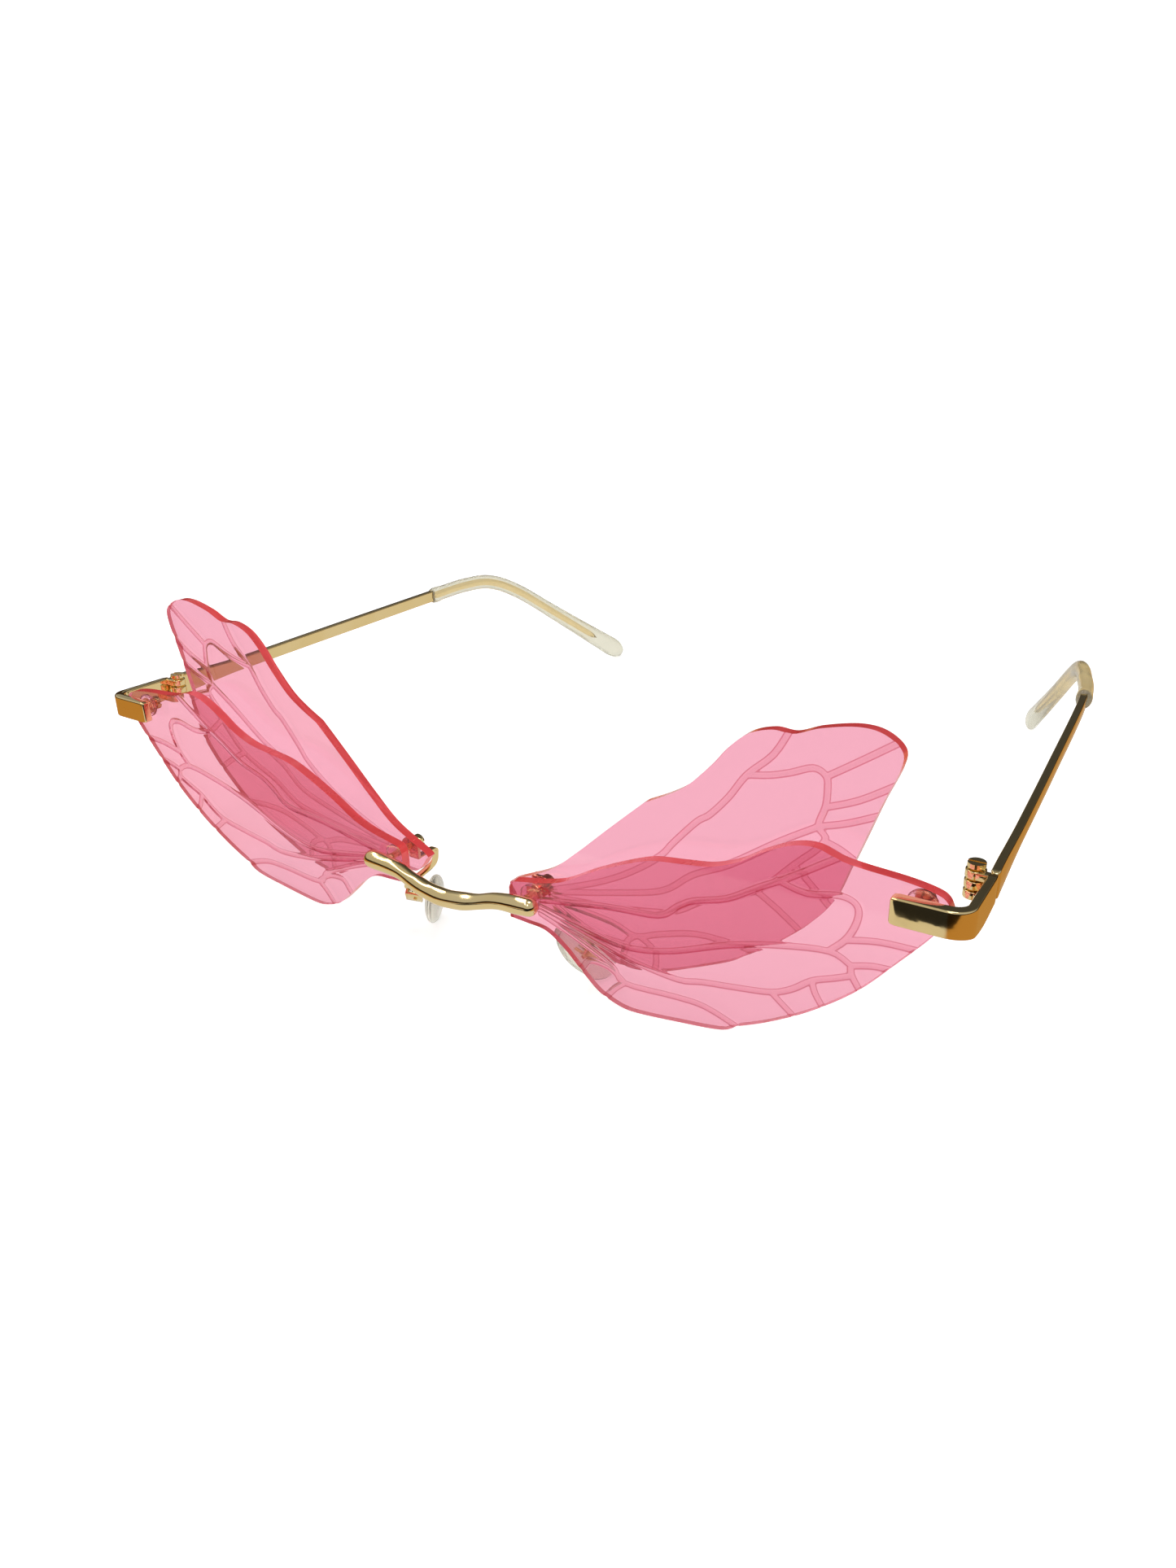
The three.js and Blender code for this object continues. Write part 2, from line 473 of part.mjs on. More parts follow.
// ---------- materials ----------
const pink = new THREE.MeshStandardMaterial({
  color: 0xe8829c, roughness: 0.08, metalness: 0, transparent: true, opacity: 0.55,
});
const gold = new THREE.MeshStandardMaterial({ color: 0xd9b565, roughness: 0.16, metalness: 1 });
const clear = new THREE.MeshStandardMaterial({
  color: 0xd8d6cc, roughness: 0.12, metalness: 0, transparent: true, opacity: 0.45,
});

// ---------- assembly ----------
const mesh = (name, body, material) => {
  const made = new THREE.Mesh(toGeometry(body), material);
  made.name = name;
  return made;
};

const buildSide = (side) => {
  const half = new THREE.Group();
  half.name = side + "_half";
  const rear = new THREE.Group();
  rear.position.set(0, REAR_GAP, BRIDGE_Z);
  rear.rotation.x = -REAR_LEAN;
  const rearLens = mesh("rear_wing_" + side, rearWing(), pink);
  rearLens.position.z = -BRIDGE_Z;
  rear.add(rearLens);
  half.add(
    mesh("front_wing_" + side, frontWing(), pink),
    rear,
    mesh("lens_spacer_" + side, lensSpacer(), clear),
    mesh("bridge_screw_" + side, bridgeScrew(), gold),
    mesh("pad_arm_" + side, padArm(), gold),
    mesh("pad_pin_" + side, padPin(), gold),
    mesh("nose_pad_" + side, nosePad(), clear),
    mesh("end_piece_" + side, endPiece(), gold),
    mesh("end_washer_" + side, endWasher(), clear),
    mesh("end_screw_" + side, endScrew(), gold),
    mesh("hinge_screw_" + side, hingeScrew(), gold),
    mesh("temple_" + side, temple(), gold),
    mesh("temple_sleeve_" + side, templeSleeve(), clear),
  );
  half.rotation.z = FACE_WRAP;
  const mirror = new THREE.Group();
  mirror.add(half);
  mirror.scale.x = side === "left" ? 1 : -1;
  return mirror;
};

// Put down, the glasses rest on the lower ends of the nose pads and of the temples.
const glasses = new THREE.Group();
glasses.name = "fairy_wing_sunglasses";
glasses.add(mesh("bridge_bar", bridgeBar(), gold), buildSide("left"), buildSide("right"));

const lowestPoint = (name) => {
  const part = glasses.getObjectByName(name);
  const positions = part.geometry.getAttribute("position");
  let lowest = new THREE.Vector3(0, 0, Infinity);
  for (let i = 0; i < positions.count; i++) {
    const point = new THREE.Vector3().fromBufferAttribute(positions, i).applyMatrix4(part.matrixWorld);
    if (point.z < lowest.z) lowest = point;
  }
  return lowest;
};

for (let pass = 0; pass < 3; pass++) {
  glasses.updateMatrixWorld(true);
  const pad = lowestPoint("nose_pad_left");
  const tip = lowestPoint("temple_sleeve_left");
  glasses.rotation.x -= Math.atan2(tip.z - pad.z, tip.y - pad.y);
}
glasses.updateMatrixWorld(true);
const bounds = new THREE.Box3().setFromObject(glasses, true);
glasses.position.y = -(bounds.min.y + bounds.max.y) / 2;
glasses.position.z = -bounds.min.z;

export default glasses;
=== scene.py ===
"""Rimless sunglasses with lenses cut as insect wings: fine surfaces, finishes, light and camera.

Lengths are in millimetres until a surface is finished, when it is laid in the frame and turned into metres.
Each half is drawn in the plane of its front lens: x outwards from the nose, y back from the middle of the
lens and z up from a level a little below the hinge. The other half is its mirror image.
"""

import math

import bmesh
import bpy
import numpy as np
from mathutils import Matrix, Vector


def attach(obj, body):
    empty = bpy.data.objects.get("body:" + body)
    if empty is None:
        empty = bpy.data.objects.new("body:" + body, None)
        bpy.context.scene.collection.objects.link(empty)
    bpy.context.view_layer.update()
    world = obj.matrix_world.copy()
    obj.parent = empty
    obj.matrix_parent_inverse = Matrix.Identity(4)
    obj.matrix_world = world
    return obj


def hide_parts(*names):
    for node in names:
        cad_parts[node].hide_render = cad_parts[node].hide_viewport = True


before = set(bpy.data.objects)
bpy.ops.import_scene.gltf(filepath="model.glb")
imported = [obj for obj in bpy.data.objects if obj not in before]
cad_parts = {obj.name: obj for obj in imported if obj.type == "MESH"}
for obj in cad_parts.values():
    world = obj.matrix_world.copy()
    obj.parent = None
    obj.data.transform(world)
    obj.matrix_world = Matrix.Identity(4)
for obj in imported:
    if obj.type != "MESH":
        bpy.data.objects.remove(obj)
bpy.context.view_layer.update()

# ---------- the maker's sizes ----------
FACE_WRAP = 0.021
REST_TILT = math.radians(3.98617)
REST_SHIFT = (0.0, -63.961, 32.4448)
GAP = 0.3

LENS_T = 1.6
REAR_GAP = 3.4
REAR_LEAN = 0.044
VEIN_WIDTH = 0.9
GROOVE_REACH = 0.58
GROOVE_DEPTH = 0.15

BRIDGE_X, BRIDGE_Z = 12.9, -11.6
BAR_R = 1.42
BAR_FRONT = -LENS_T / 2 - GAP
REAR_FACE = REAR_GAP + LENS_T / 2
ARM_T = 0.7

END_X, END_Z = 69.2, 2.7
END_INNER_X = 66.2
END_HEIGHT = 3.7
END_T = 1.7
END_BEND_R = 3.0
END_EDGE_R = 0.3
END_SAG = 0.72
RETURN_T = 1.3

HINGE_X, HINGE_Y, HINGE_Z = 72.9, 10.0, 2.2
KNUCKLE_R, KNUCKLE_H = 1.3, 1.1
WALL_OUTER = HINGE_X + KNUCKLE_R + GAP + RETURN_T
BUTT_Y = HINGE_Y + 0.15
TEMPLE_X = WALL_OUTER - RETURN_T / 2
TEMPLE_T, TEMPLE_H, TEMPLE_ROOT_H = 1.2, 2.4, 3.9
SLEEVE_Y = 80.4
SLEEVE_HALF_W, SLEEVE_HALF_H, SLEEVE_FLARE, SLEEVE_LIP = 1.25, 1.6, 0.7, 0.1
WIRE_HALF_W, WIRE_HALF_H = 0.45, 0.6

PAD_CENTRE = np.array([15.6, 11.7, -25.8])
PAD_LENGTH, PAD_WIDTH, PAD_T = 13.6, 7.4, 2.6
PAD_PIN_OUT = -PAD_T / 2 - 1.7
PAD_PIN_DOWN = -1.7
PAD_BOSS_R, PAD_BOSS_HALF_W = 0.93, 0.25
BOX_HALF_W, BOX_HALF_H, BOX_ROOM, BOX_WALL = 1.1, 1.5, 0.56, 0.45
BOX_BACK = PAD_PIN_OUT - 1.25
BOX_MOUTH = -PAD_T / 2 - 0.56
EYELET_R = 1.5
RIBBON_HALF_W, RIBBON_HALF_T = 0.53, 0.23
END_WASHER_R, END_WASHER_T = 2.0, 1.1
SPACER_R = 1.7
WASHER_FLAT_R = 0.62

FRONT_WING = [
    [[10.2, -15.2], [13, -15.4], [16.4, -15.8], [19.5, -17.9], [22.6, -21], [25, -23.2], [27, -24.2]],
    [[27, -24.2], [30.5, -24.9], [38, -24.1], [44.4, -23.1], [46.8, -21.7]],
    [[46.8, -21.7], [51.3, -19.4], [57, -15.7], [62.7, -10.8], [67.4, -5.2], [71, -0.6], [73.1, 3]],
    [[73.1, 3], [72.4, 4.5], [71, 5.3], [67.5, 5.9], [62, 6.3], [59.2, 6.7], [56.2, 7.6], [53, 7.1],
     [49.3, 5.2], [46, 3], [42.2, 1.4], [38, 0.7], [33.5, 0], [29.2, -1.7], [24.2, -4.2], [19.8, -6.8],
     [16, -8.1], [12, -8.9], [10.7, -9.3], [10.2, -10.2]],
]
REAR_WING = [
    [[8.2, -12], [8.5, -11.2], [14.9, -8], [19.5, -4.1], [24, 0.2], [27.6, 3.6], [30.3, 6.1]],
    [[30.3, 6.1], [33.7, 7.9], [36.6, 9.9], [39.9, 13.4], [42.2, 16.3], [44.8, 18.6], [47.9, 19.7],
     [50.8, 19.7], [54.1, 21], [58.6, 22], [61.8, 21.7], [64.2, 20], [64.2, 17.6], [62.5, 13], [61, 8.4],
     [59.5, 3.9], [57.7, -1.2], [54.9, -5], [52.4, -7.5], [49.2, -10.4]],
    [[49.2, -10.4], [46.6, -12.1], [44.2, -13.8], [39.3, -16.2], [34.3, -18.4], [30.1, -19.4], [26.5, -19.3]],
    [[26.5, -19.3], [24, -17.9], [21.8, -16.7], [18.7, -15.9], [15.9, -14.9], [13, -14.8], [10.2, -14.6],
     [8.2, -12]],
]
FRONT_VEINS = [
    [[15.6, -10.9], [26.5, -8.9], [34.6, -8], [37.7, -5.7], [40.1, -4.2], [44.7, -2.6], [49, 0.2],
     [53.2, 2.8], [59.4, 7.2]],
    [[51.5, 1.9], [55.3, 1.1], [59.3, 1.9], [61.3, 1.6], [62.1, 0.4], [61.8, -1.7], [60.7, -4], [58.7, -6.2]],
    [[15.6, -12], [26.4, -14.2], [31.5, -14.3], [37.2, -12.8], [45, -9.5], [52, -7.4], [58.7, -6.2],
     [61.7, -7.4]],
    [[60.7, -4], [65, -3], [70.2, -2.8]],
    [[61.7, -7.4], [64.5, -6.6], [67.8, -6.4]],
    [[61.7, -7.4], [61.9, -8.8], [63.6, -11.4]],
    [[61.9, -8.8], [59.6, -9.9], [56.8, -11.2], [54.2, -13.3], [51.4, -14.7], [46.6, -15.6], [41.5, -16.4],
     [37.7, -17.2], [31, -16.5], [26, -15.3], [15.6, -12.6]],
    [[56.8, -11.2], [57.4, -13], [59, -15.4]],
    [[51.4, -14.7], [53, -16], [55.4, -17.9]],
    [[15.6, -13.2], [20.9, -15.2], [27.3, -18.2], [29.4, -20.5], [37.3, -20.1], [42, -20.2], [47.4, -22]],
    [[29.4, -20.5], [27.8, -22], [25.9, -24.5]],
    [[29.2, -20.2], [26.9, -18.7], [23.9, -18.5], [22.6, -20], [21.5, -21.5]],
]
REAR_VEINS = [
    [[50.4, 20.4], [48.3, 16.5], [44.9, 13.1], [42.6, 9.6], [40, 6.5], [38.2, 5.1], [34.9, 1.3], [32.9, -1.2],
     [28.6, -4.5], [23.4, -7.4], [15.9, -10.5]],
    [[44.9, 13.1], [48, 13.7], [50.7, 14.6], [53.6, 15.8], [55.3, 15], [55.6, 13.1], [55.5, 11], [54.8, 8.3],
     [55.8, 6.5], [52.2, 2.6], [47.4, -2.3], [40.3, -5.6], [36.4, -8.2], [33, -9.4], [25.5, -10.6],
     [15.8, -11.6]],
    [[55.3, 15], [59.3, 17.8], [64, 21.2]],
    [[55.5, 11], [59.6, 12.8], [63.9, 15.6]],
    [[54.9, 8.3], [58.6, 9.6], [62.9, 11.7]],
    [[54.9, 8.3], [49.8, 5], [43.4, 0.4], [38.2, -2.4], [33.8, -5.9], [26.4, -8.2], [15.8, -10.9]],
    [[55.8, 6.5], [58, 5.8], [60.9, 4.2]],
    [[52.2, 2.6], [54.6, 0.6], [58.1, -2.6]],
    [[47.4, -2.3], [50.6, -4.2], [54.6, -7]],
    [[15.8, -12.1], [25.6, -12.9], [29.7, -14.1], [33.6, -12.7], [38.5, -11.2], [42.5, -10.9], [46, -11.1],
     [49.9, -11.4]],
    [[30.4, -14], [33, -15.8], [32.9, -20]],
    [[29.7, -14.1], [28.2, -15.9], [28, -20.4]],
    [[28.2, -15.9], [22.7, -15.4], [16.2, -12.4]],
]


# ---------- laying a half in the frame ----------
def lay(points, side):
    """Wraps a half back from the bridge, mirrors it for the wearer's right and lays it with the whole."""
    x, y, z = np.moveaxis(np.asarray(points, float), -1, 0)
    c, s = math.cos(FACE_WRAP), math.sin(FACE_WRAP)
    x, y = x * c - y * s, x * s + y * c
    if side == "right":
        x = -x
    return lay_whole(np.stack([x, y, z], -1))


def lay_whole(points):
    """Tilts points of the whole glasses to rest, moves them onto the frame's origin and makes them metres."""
    x, y, z = np.moveaxis(np.asarray(points, float), -1, 0)
    c, s = math.cos(REST_TILT), math.sin(REST_TILT)
    tilted = np.stack([x, y * c + z * s, -y * s + z * c], -1)
    return (tilted + REST_SHIFT) / 1000


def lean(points):
    """Carries points from the front lens's plane to the rear lens's, which leans back from the bridge."""
    x, y, z = np.moveaxis(np.asarray(points, float), -1, 0)
    c, s = math.cos(REAR_LEAN), math.sin(REAR_LEAN)
    z = z - BRIDGE_Z
    return np.stack([x, y * c + z * s + REAR_GAP, -y * s + z * c + BRIDGE_Z], -1)


# ---------- meshes ----------
SAME_POINT = 1e-7  # metres


class Skin:
    """Closed surfaces collected as one mesh: points, and faces of three or four corners, each with a slot."""

    def __init__(self):
        self.points, self.faces, self.slots, self.count = [], [], [], 0

    def add(self, points, *faces, slot=0):
        """Adds an array of points and arrays of faces whose corners count from the first of them."""
        for corners in faces:
            self.join(corners + self.count, slot)
        self.points.append(np.asarray(points, float).reshape(-1, 3))
        self.count += len(self.points[-1])

    def join(self, faces, slot):
        """Adds faces whose corners count from the skin's own first point."""
        self.faces.append(faces)
        self.slots.append(np.full(len(faces), slot))

    def tube(self, rings):
        """A closed skin over rings of points (rings, sides, 3), with a fan of triangles over each end."""
        count, sides = rings.shape[:2]
        here = np.arange(count * sides).reshape(count, sides)
        beside = np.roll(here, -1, axis=1)
        walls = np.stack([here[:-1], beside[:-1], beside[1:], here[1:]], -1).reshape(-1, 4)
        middles = np.stack([rings[0].mean(0), rings[-1].mean(0)])
        first, last = np.full((2, sides), here.size) + [[0], [1]]
        fans = [np.stack([first, beside[0], here[0]], -1), np.stack([last, here[-1], beside[-1]], -1)]
        self.add(np.concatenate([rings.reshape(-1, 3), middles]), walls, *fans)

    def build(self, name, place, materials, smooth_angle=40):
        """Merges what coincides, turns the faces outwards and shades smooth whatever bends less than the
        angle, in degrees."""
        points = place(np.concatenate(self.points))
        faces = sum((part.tolist() for part in self.faces), [])
        mesh = bpy.data.meshes.new(name)
        mesh.from_pydata(points.tolist(), [], faces)
        mesh.polygons.foreach_set("material_index", np.concatenate(self.slots).astype(np.int32))
        for material in materials:
            mesh.materials.append(material)
        edit = bmesh.new()
        edit.from_mesh(mesh)
        bmesh.ops.remove_doubles(edit, verts=edit.verts, dist=SAME_POINT)
        bmesh.ops.recalc_face_normals(edit, faces=edit.faces)
        edit.to_mesh(mesh)
        edit.free()
        mesh.shade_smooth()
        mesh.set_sharp_from_angle(angle=math.radians(smooth_angle))
        piece = bpy.data.objects.new(name, mesh)
        bpy.context.scene.collection.objects.link(piece)
        return piece


def unit(vectors):
    """The same directions, each with the length one."""
    return vectors / np.linalg.norm(vectors, axis=-1, keepdims=True)


def smooth(points, per=8):
    """The even Catmull-Rom curve through the points, with per steps to each stretch."""
    p = np.asarray(points, float)
    before = np.vstack([p[:1], p[:-2]])
    after = np.vstack([p[2:], p[-1:]])
    a, b = p[:-1], p[1:]
    va, vb = (b - before) / 2, (after - a) / 2
    t = (np.arange(per) / per)[:, None, None]
    curve = (2 * a - 2 * b + va + vb) * t**3 + (3 * b - 3 * a - 2 * va - vb) * t**2 + va * t + a
    return np.vstack([curve.transpose(1, 0, 2).reshape(-1, p.shape[1]), p[-1:]])


def evenly(curve, count):
    """The same curve with its points the same length apart."""
    length = np.concatenate([[0], np.cumsum(np.linalg.norm(np.diff(curve, axis=0), axis=1))])
    at = np.linspace(0, length[-1], count)
    return np.stack([np.interp(at, length, curve[:, k]) for k in range(curve.shape[1])], -1)


def carried(path, section):
    """Rings of a section carried along a path. section (rings, sides, 2) is measured sideways and upwards
    across the path's travel, sideways being level."""
    travel = unit(np.gradient(path, axis=0))
    across = unit(np.cross([0, 0, 1], travel))
    return around(path, section, across, np.cross(travel, across))


def around(path, section, across, up):
    """Rings of a section round each point of a path, measured along two directions that go with the point."""
    return path[:, None] + section[..., :1] * across[:, None] + section[..., 1:] * up[:, None]


def oval(half, tall, sides=32):
    """Ellipses of those half sizes, one for each value."""
    angle = np.linspace(0, 2 * np.pi, sides, endpoint=False)
    return np.stack([np.multiply.outer(half, np.cos(angle)), np.multiply.outer(tall, np.sin(angle))], -1)


def rounded(half, tall, radius, steps=7):
    """Rectangles of those half sizes whose corners are arcs of the radius, one for each value."""
    half, tall, radius = np.broadcast_arrays(np.atleast_1d(half), tall, radius)
    turn = np.linspace(0, np.pi / 2, steps)
    angle = np.concatenate([turn + k * np.pi / 2 for k in range(4)])
    sx = np.repeat([1, -1, -1, 1], steps)
    sy = np.repeat([1, 1, -1, -1], steps)
    a = np.multiply.outer(half - radius, sx) + np.multiply.outer(radius, np.cos(angle))
    b = np.multiply.outer(tall - radius, sy) + np.multiply.outer(radius, np.sin(angle))
    return np.stack([a, b], -1)


def softened(path, edge):
    """A path with two more points near each end, and how far its section draws in at every point, so that
    its ends are rounded."""
    first, last = path[0], path[-1]
    ahead, behind = unit(path[1] - first), unit(path[-2] - last)
    steps = np.array([0, 0.3, 1.0])[:, None] * edge
    draw = np.array([1, 0.3, 0]) * edge
    away = np.minimum(np.linalg.norm(path - first, axis=1), np.linalg.norm(path - last, axis=1))
    inside = away > edge * 1.2
    points = np.vstack([first + steps * ahead, path[inside], last + steps[::-1] * behind])
    return points, np.concatenate([draw, np.zeros(inside.sum()), draw[::-1]])


def block(skin, low, high, radius, place=np.asarray):
    """A box with every edge rounded: a rounded rectangle carried along y, drawn in at both ends, and then put
    where place says."""
    low, high = np.minimum(low, high), np.maximum(low, high)
    middle, half = (low + high) / 2, (high - low) / 2
    path = np.array([[middle[0], y, middle[2]] for y in (low[1], middle[1], high[1])])
    path, draw = softened(path, radius)
    section = rounded(half[0] - draw, half[2] - draw, np.maximum(radius - draw * 0.5, 0.02))
    skin.tube(place(carried(path, section)))


def turned(skin, centre, axis, profile, sides=40):
    """A profile of (radius, distance along the axis) turned round the axis through the centre."""
    axis = unit(np.asarray(axis, float))
    first = unit(np.cross(axis, [0.3, 0.9, 0.1]))
    second = np.cross(axis, first)
    angle = np.linspace(0, 2 * np.pi, sides, endpoint=False)
    spoke = np.cos(angle)[:, None] * first + np.sin(angle)[:, None] * second
    radius, height = np.asarray(profile, float).T
    skin.tube(np.asarray(centre) + radius[:, None, None] * spoke + (height[:, None] * axis)[:, None])


def button(radius, low, high, edge):
    """The profile of a round disc or rod with rounded rims."""
    turn = np.linspace(0, np.pi / 2, 5)
    rise = np.stack([radius - edge + edge * np.sin(turn), low + edge - edge * np.cos(turn)], -1)
    fall = np.stack([radius - edge + edge * np.cos(turn), high - edge + edge * np.sin(turn)], -1)
    return np.vstack([rise, fall])


# ---------- finishes ----------
SHEET = (0.75, 0.36, 0.455)
# painted glow: the pink sheet gives off a faint pink light of its own
SHEET_PAINTED_GLOW, SHEET_PAINTED_GLOW_COLOUR = 0.02, (1.0, 0.22, 0.3)
VEIN = (0.66, 0.225, 0.30)
VEIN_BORDER = (0.48, 0.07, 0.115)
VEIN_FROST = 0.16
EDGE = (0.84, 0.085, 0.085)
EDGE_DEEP = (0.74, 0.06, 0.07)
# painted glow: the cut edge gives off red light of its own
EDGE_PAINTED_GLOW, EDGE_PAINTED_GLOW_COLOUR = 0.16, (0.9, 0.05, 0.06)
GOLD = (0.90, 0.67, 0.28)
GOLD_PALE = (0.96, 0.78, 0.44)
SLEEVE_MILK = (0.76, 0.74, 0.62)
PAD_MILK = (0.74, 0.72, 0.62)
WASHER_CLEAR = (0.95, 0.93, 0.92)
ACRYLIC_IOR, SOFT_IOR = 1.49, 1.46


def socket(group, name, kind, into, value=None):
    """Adds an input or an output to a node group."""
    made = group.interface.new_socket(name, in_out="INPUT" if into else "OUTPUT", socket_type=kind)
    if value is not None:
        made.default_value = value
    return made


def handling_marks():
    """Faint smears left by wiping: stretched noise, as a mask from 0 to 1."""
    group = bpy.data.node_groups.new("handling_marks", "ShaderNodeTree")
    socket(group, "Size", "NodeSocketFloat", True, 120.0)
    socket(group, "Mask", "NodeSocketFloat", False)
    nodes, links = group.nodes, group.links
    start, end = nodes.new("NodeGroupInput"), nodes.new("NodeGroupOutput")
    place = nodes.new("ShaderNodeTexCoord")
    stretch = nodes.new("ShaderNodeMapping")
    stretch.inputs["Scale"].default_value = (1.0, 0.35, 1.6)
    stretch.inputs["Rotation"].default_value = (0.3, 0.5, 0.2)
    noise = nodes.new("ShaderNodeTexNoise")
    noise.inputs["Detail"].default_value = 3.0
    ramp = nodes.new("ShaderNodeMapRange")
    ramp.inputs["From Min"].default_value = 0.42
    ramp.inputs["From Max"].default_value = 0.72
    links.new(place.outputs["Object"], stretch.inputs["Vector"])
    links.new(stretch.outputs["Vector"], noise.inputs["Vector"])
    links.new(start.outputs["Size"], noise.inputs["Scale"])
    links.new(noise.outputs["Fac"], ramp.inputs["Value"])
    links.new(ramp.outputs["Result"], end.inputs["Mask"])
    return group


MARKS = handling_marks()


def finish_of(name):
    """A new material, its Principled shader, and its node and link makers."""
    material = bpy.data.materials.new(name)
    material.use_nodes = True
    nodes, links = material.node_tree.nodes, material.node_tree.links
    return material, nodes["Principled BSDF"], nodes, links


def set_values(shader, **values):
    """Sets inputs by name, with an underscore for each space."""
    for name, value in values.items():
        shader.inputs[name.replace("_", " ")].default_value = value


def marks_on(nodes, links, shader, size, low, high):
    """Roughness between low and high where the surface has been handled, as an output."""
    marks = nodes.new("ShaderNodeGroup")
    marks.node_tree = MARKS
    marks.inputs["Size"].default_value = size
    spread = nodes.new("ShaderNodeMapRange")
    spread.inputs["To Min"].default_value = low
    spread.inputs["To Max"].default_value = high
    links.new(marks.outputs["Mask"], spread.inputs["Value"])
    links.new(spread.outputs["Result"], shader.inputs["Roughness"])
    return spread.outputs["Result"]


def noise_of(nodes, links, scale):
    """Even noise measured in the piece's own metres, as an output."""
    place = nodes.new("ShaderNodeTexCoord")
    noise = nodes.new("ShaderNodeTexNoise")
    noise.inputs["Scale"].default_value = scale
    links.new(place.outputs["Object"], noise.inputs["Vector"])
    return noise.outputs["Fac"]


def mottled(nodes, links, shader, scale, first, second):
    """A base colour that wanders softly between two colours."""
    mix = nodes.new("ShaderNodeMix")
    mix.data_type = "RGBA"
    mix.inputs["A"].default_value = (*first, 1)
    mix.inputs["B"].default_value = (*second, 1)
    links.new(noise_of(nodes, links, scale), mix.inputs["Factor"])
    links.new(mix.outputs["Result"], shader.inputs["Base Color"])


def tinted_plastic(name, veins):
    """Clear pink sheet with a faint painted pink glow. With veins, the engraved lines are duller and have
    dark, thin borders.
    """
    material, shader, nodes, links = finish_of(name)
    set_values(shader, Metallic=0.0, IOR=ACRYLIC_IOR, Transmission_Weight=1.0)
    # painted glow: a faint pink emission on the sheet
    set_values(shader, Emission_Color=(*SHEET_PAINTED_GLOW_COLOUR, 1), Emission_Strength=SHEET_PAINTED_GLOW)
    rough = marks_on(nodes, links, shader, 90.0, 0.0, 0.03)
    if not veins:
        shader.inputs["Base Color"].default_value = (*SHEET, 1)
        return material
    away = nodes.new("ShaderNodeAttribute")
    away.attribute_name = "vein_distance"

    def band(inner, outer):
        ramp = nodes.new("ShaderNodeMapRange")
        ramp.interpolation_type = "SMOOTHSTEP"
        ramp.inputs["From Min"].default_value = inner
        ramp.inputs["From Max"].default_value = outer
        ramp.inputs["To Min"].default_value = 1.0
        ramp.inputs["To Max"].default_value = 0.0
        links.new(away.outputs["Fac"], ramp.inputs["Value"])
        return ramp.outputs["Result"]

    half = VEIN_WIDTH / 2
    floor, whole = band(half - 0.16, half - 0.08), band(half + 0.02, half + 0.10)
    border = nodes.new("ShaderNodeMath")
    border.operation = "SUBTRACT"
    links.new(whole, border.inputs[0])
    links.new(floor, border.inputs[1])

    def blend(mask, first, second):
        mix = nodes.new("ShaderNodeMix")
        mix.data_type = "RGBA"
        links.new(mask, mix.inputs["Factor"])
        if isinstance(first, tuple):
            mix.inputs["A"].default_value = (*first, 1)
        else:
            links.new(first, mix.inputs["A"])
        mix.inputs["B"].default_value = (*second, 1)
        return mix.outputs["Result"]

    colour = blend(border.outputs[0], blend(floor, SHEET, VEIN), VEIN_BORDER)
    links.new(colour, shader.inputs["Base Color"])
    frost = nodes.new("ShaderNodeMath")
    frost.operation = "MULTIPLY_ADD"
    frost.inputs[1].default_value = VEIN_FROST
    links.new(floor, frost.inputs[0])
    links.new(rough, frost.inputs[2])
    links.new(frost.outputs[0], shader.inputs["Roughness"])
    depth = nodes.new("ShaderNodeBump")
    depth.invert = True
    depth.inputs["Strength"].default_value = 0.25
    depth.inputs["Distance"].default_value = 0.0001
    links.new(whole, depth.inputs["Height"])
    links.new(depth.outputs["Normal"], shader.inputs["Normal"])
    return material


def cut_edge():
    """The sheet's sawn and polished edge, where the dye gathers to a deep red, with a painted red glow on
    top.
    """
    material, shader, nodes, links = finish_of("pink_cut_edge")
    set_values(shader, Metallic=0.0, IOR=ACRYLIC_IOR, Transmission_Weight=0.25, Coat_Weight=0.5)
    # painted glow: red emission on the cut edge
    set_values(shader, Emission_Color=(*EDGE_PAINTED_GLOW_COLOUR, 1), Emission_Strength=EDGE_PAINTED_GLOW)
    marks_on(nodes, links, shader, 300.0, 0.18, 0.34)
    mottled(nodes, links, shader, 60.0, EDGE, EDGE_DEEP)
    return material


def gold_plate():
    """Polished gold plating, a little paler in patches, with wiping marks and the faintest ripple."""
    material, shader, nodes, links = finish_of("gold_plate")
    set_values(shader, Metallic=1.0)
    marks_on(nodes, links, shader, 220.0, 0.07, 0.16)
    mottled(nodes, links, shader, 140.0, GOLD, GOLD_PALE)
    ripple = nodes.new("ShaderNodeBump")
    ripple.inputs["Strength"].default_value = 0.12
    ripple.inputs["Distance"].default_value = 0.0002
    links.new(noise_of(nodes, links, 420.0), ripple.inputs["Height"])
    links.new(ripple.outputs["Normal"], shader.inputs["Normal"])
    return material


def clear_plastic(name, colour, low, high, clarity):
    """Moulded plastic, nearly clear and slightly milky, with soft wiping marks."""
    material, shader, nodes, links = finish_of(name)
    set_values(shader, Metallic=0.0, IOR=SOFT_IOR, Transmission_Weight=clarity)
    shader.inputs["Base Color"].default_value = (*colour, 1)
    marks_on(nodes, links, shader, 160.0, low, high)
    return material


pink_front = tinted_plastic("pink_engraved_face", True)
pink_back = tinted_plastic("pink_plain_face", False)
pink_edge = cut_edge()
gold = gold_plate()
clear_sleeve = clear_plastic("clear_sleeve", SLEEVE_MILK, 0.12, 0.24, 0.8)
clear_pad = clear_plastic("clear_pad", PAD_MILK, 0.10, 0.24, 0.85)
clear_washer = clear_plastic("clear_washer", WASHER_CLEAR, 0.05, 0.12, 0.95)


# ---------- the wing lenses ----------
FAR_FROM_VEINS = 9.0
RIM_BEVEL = 0.00011  # metres


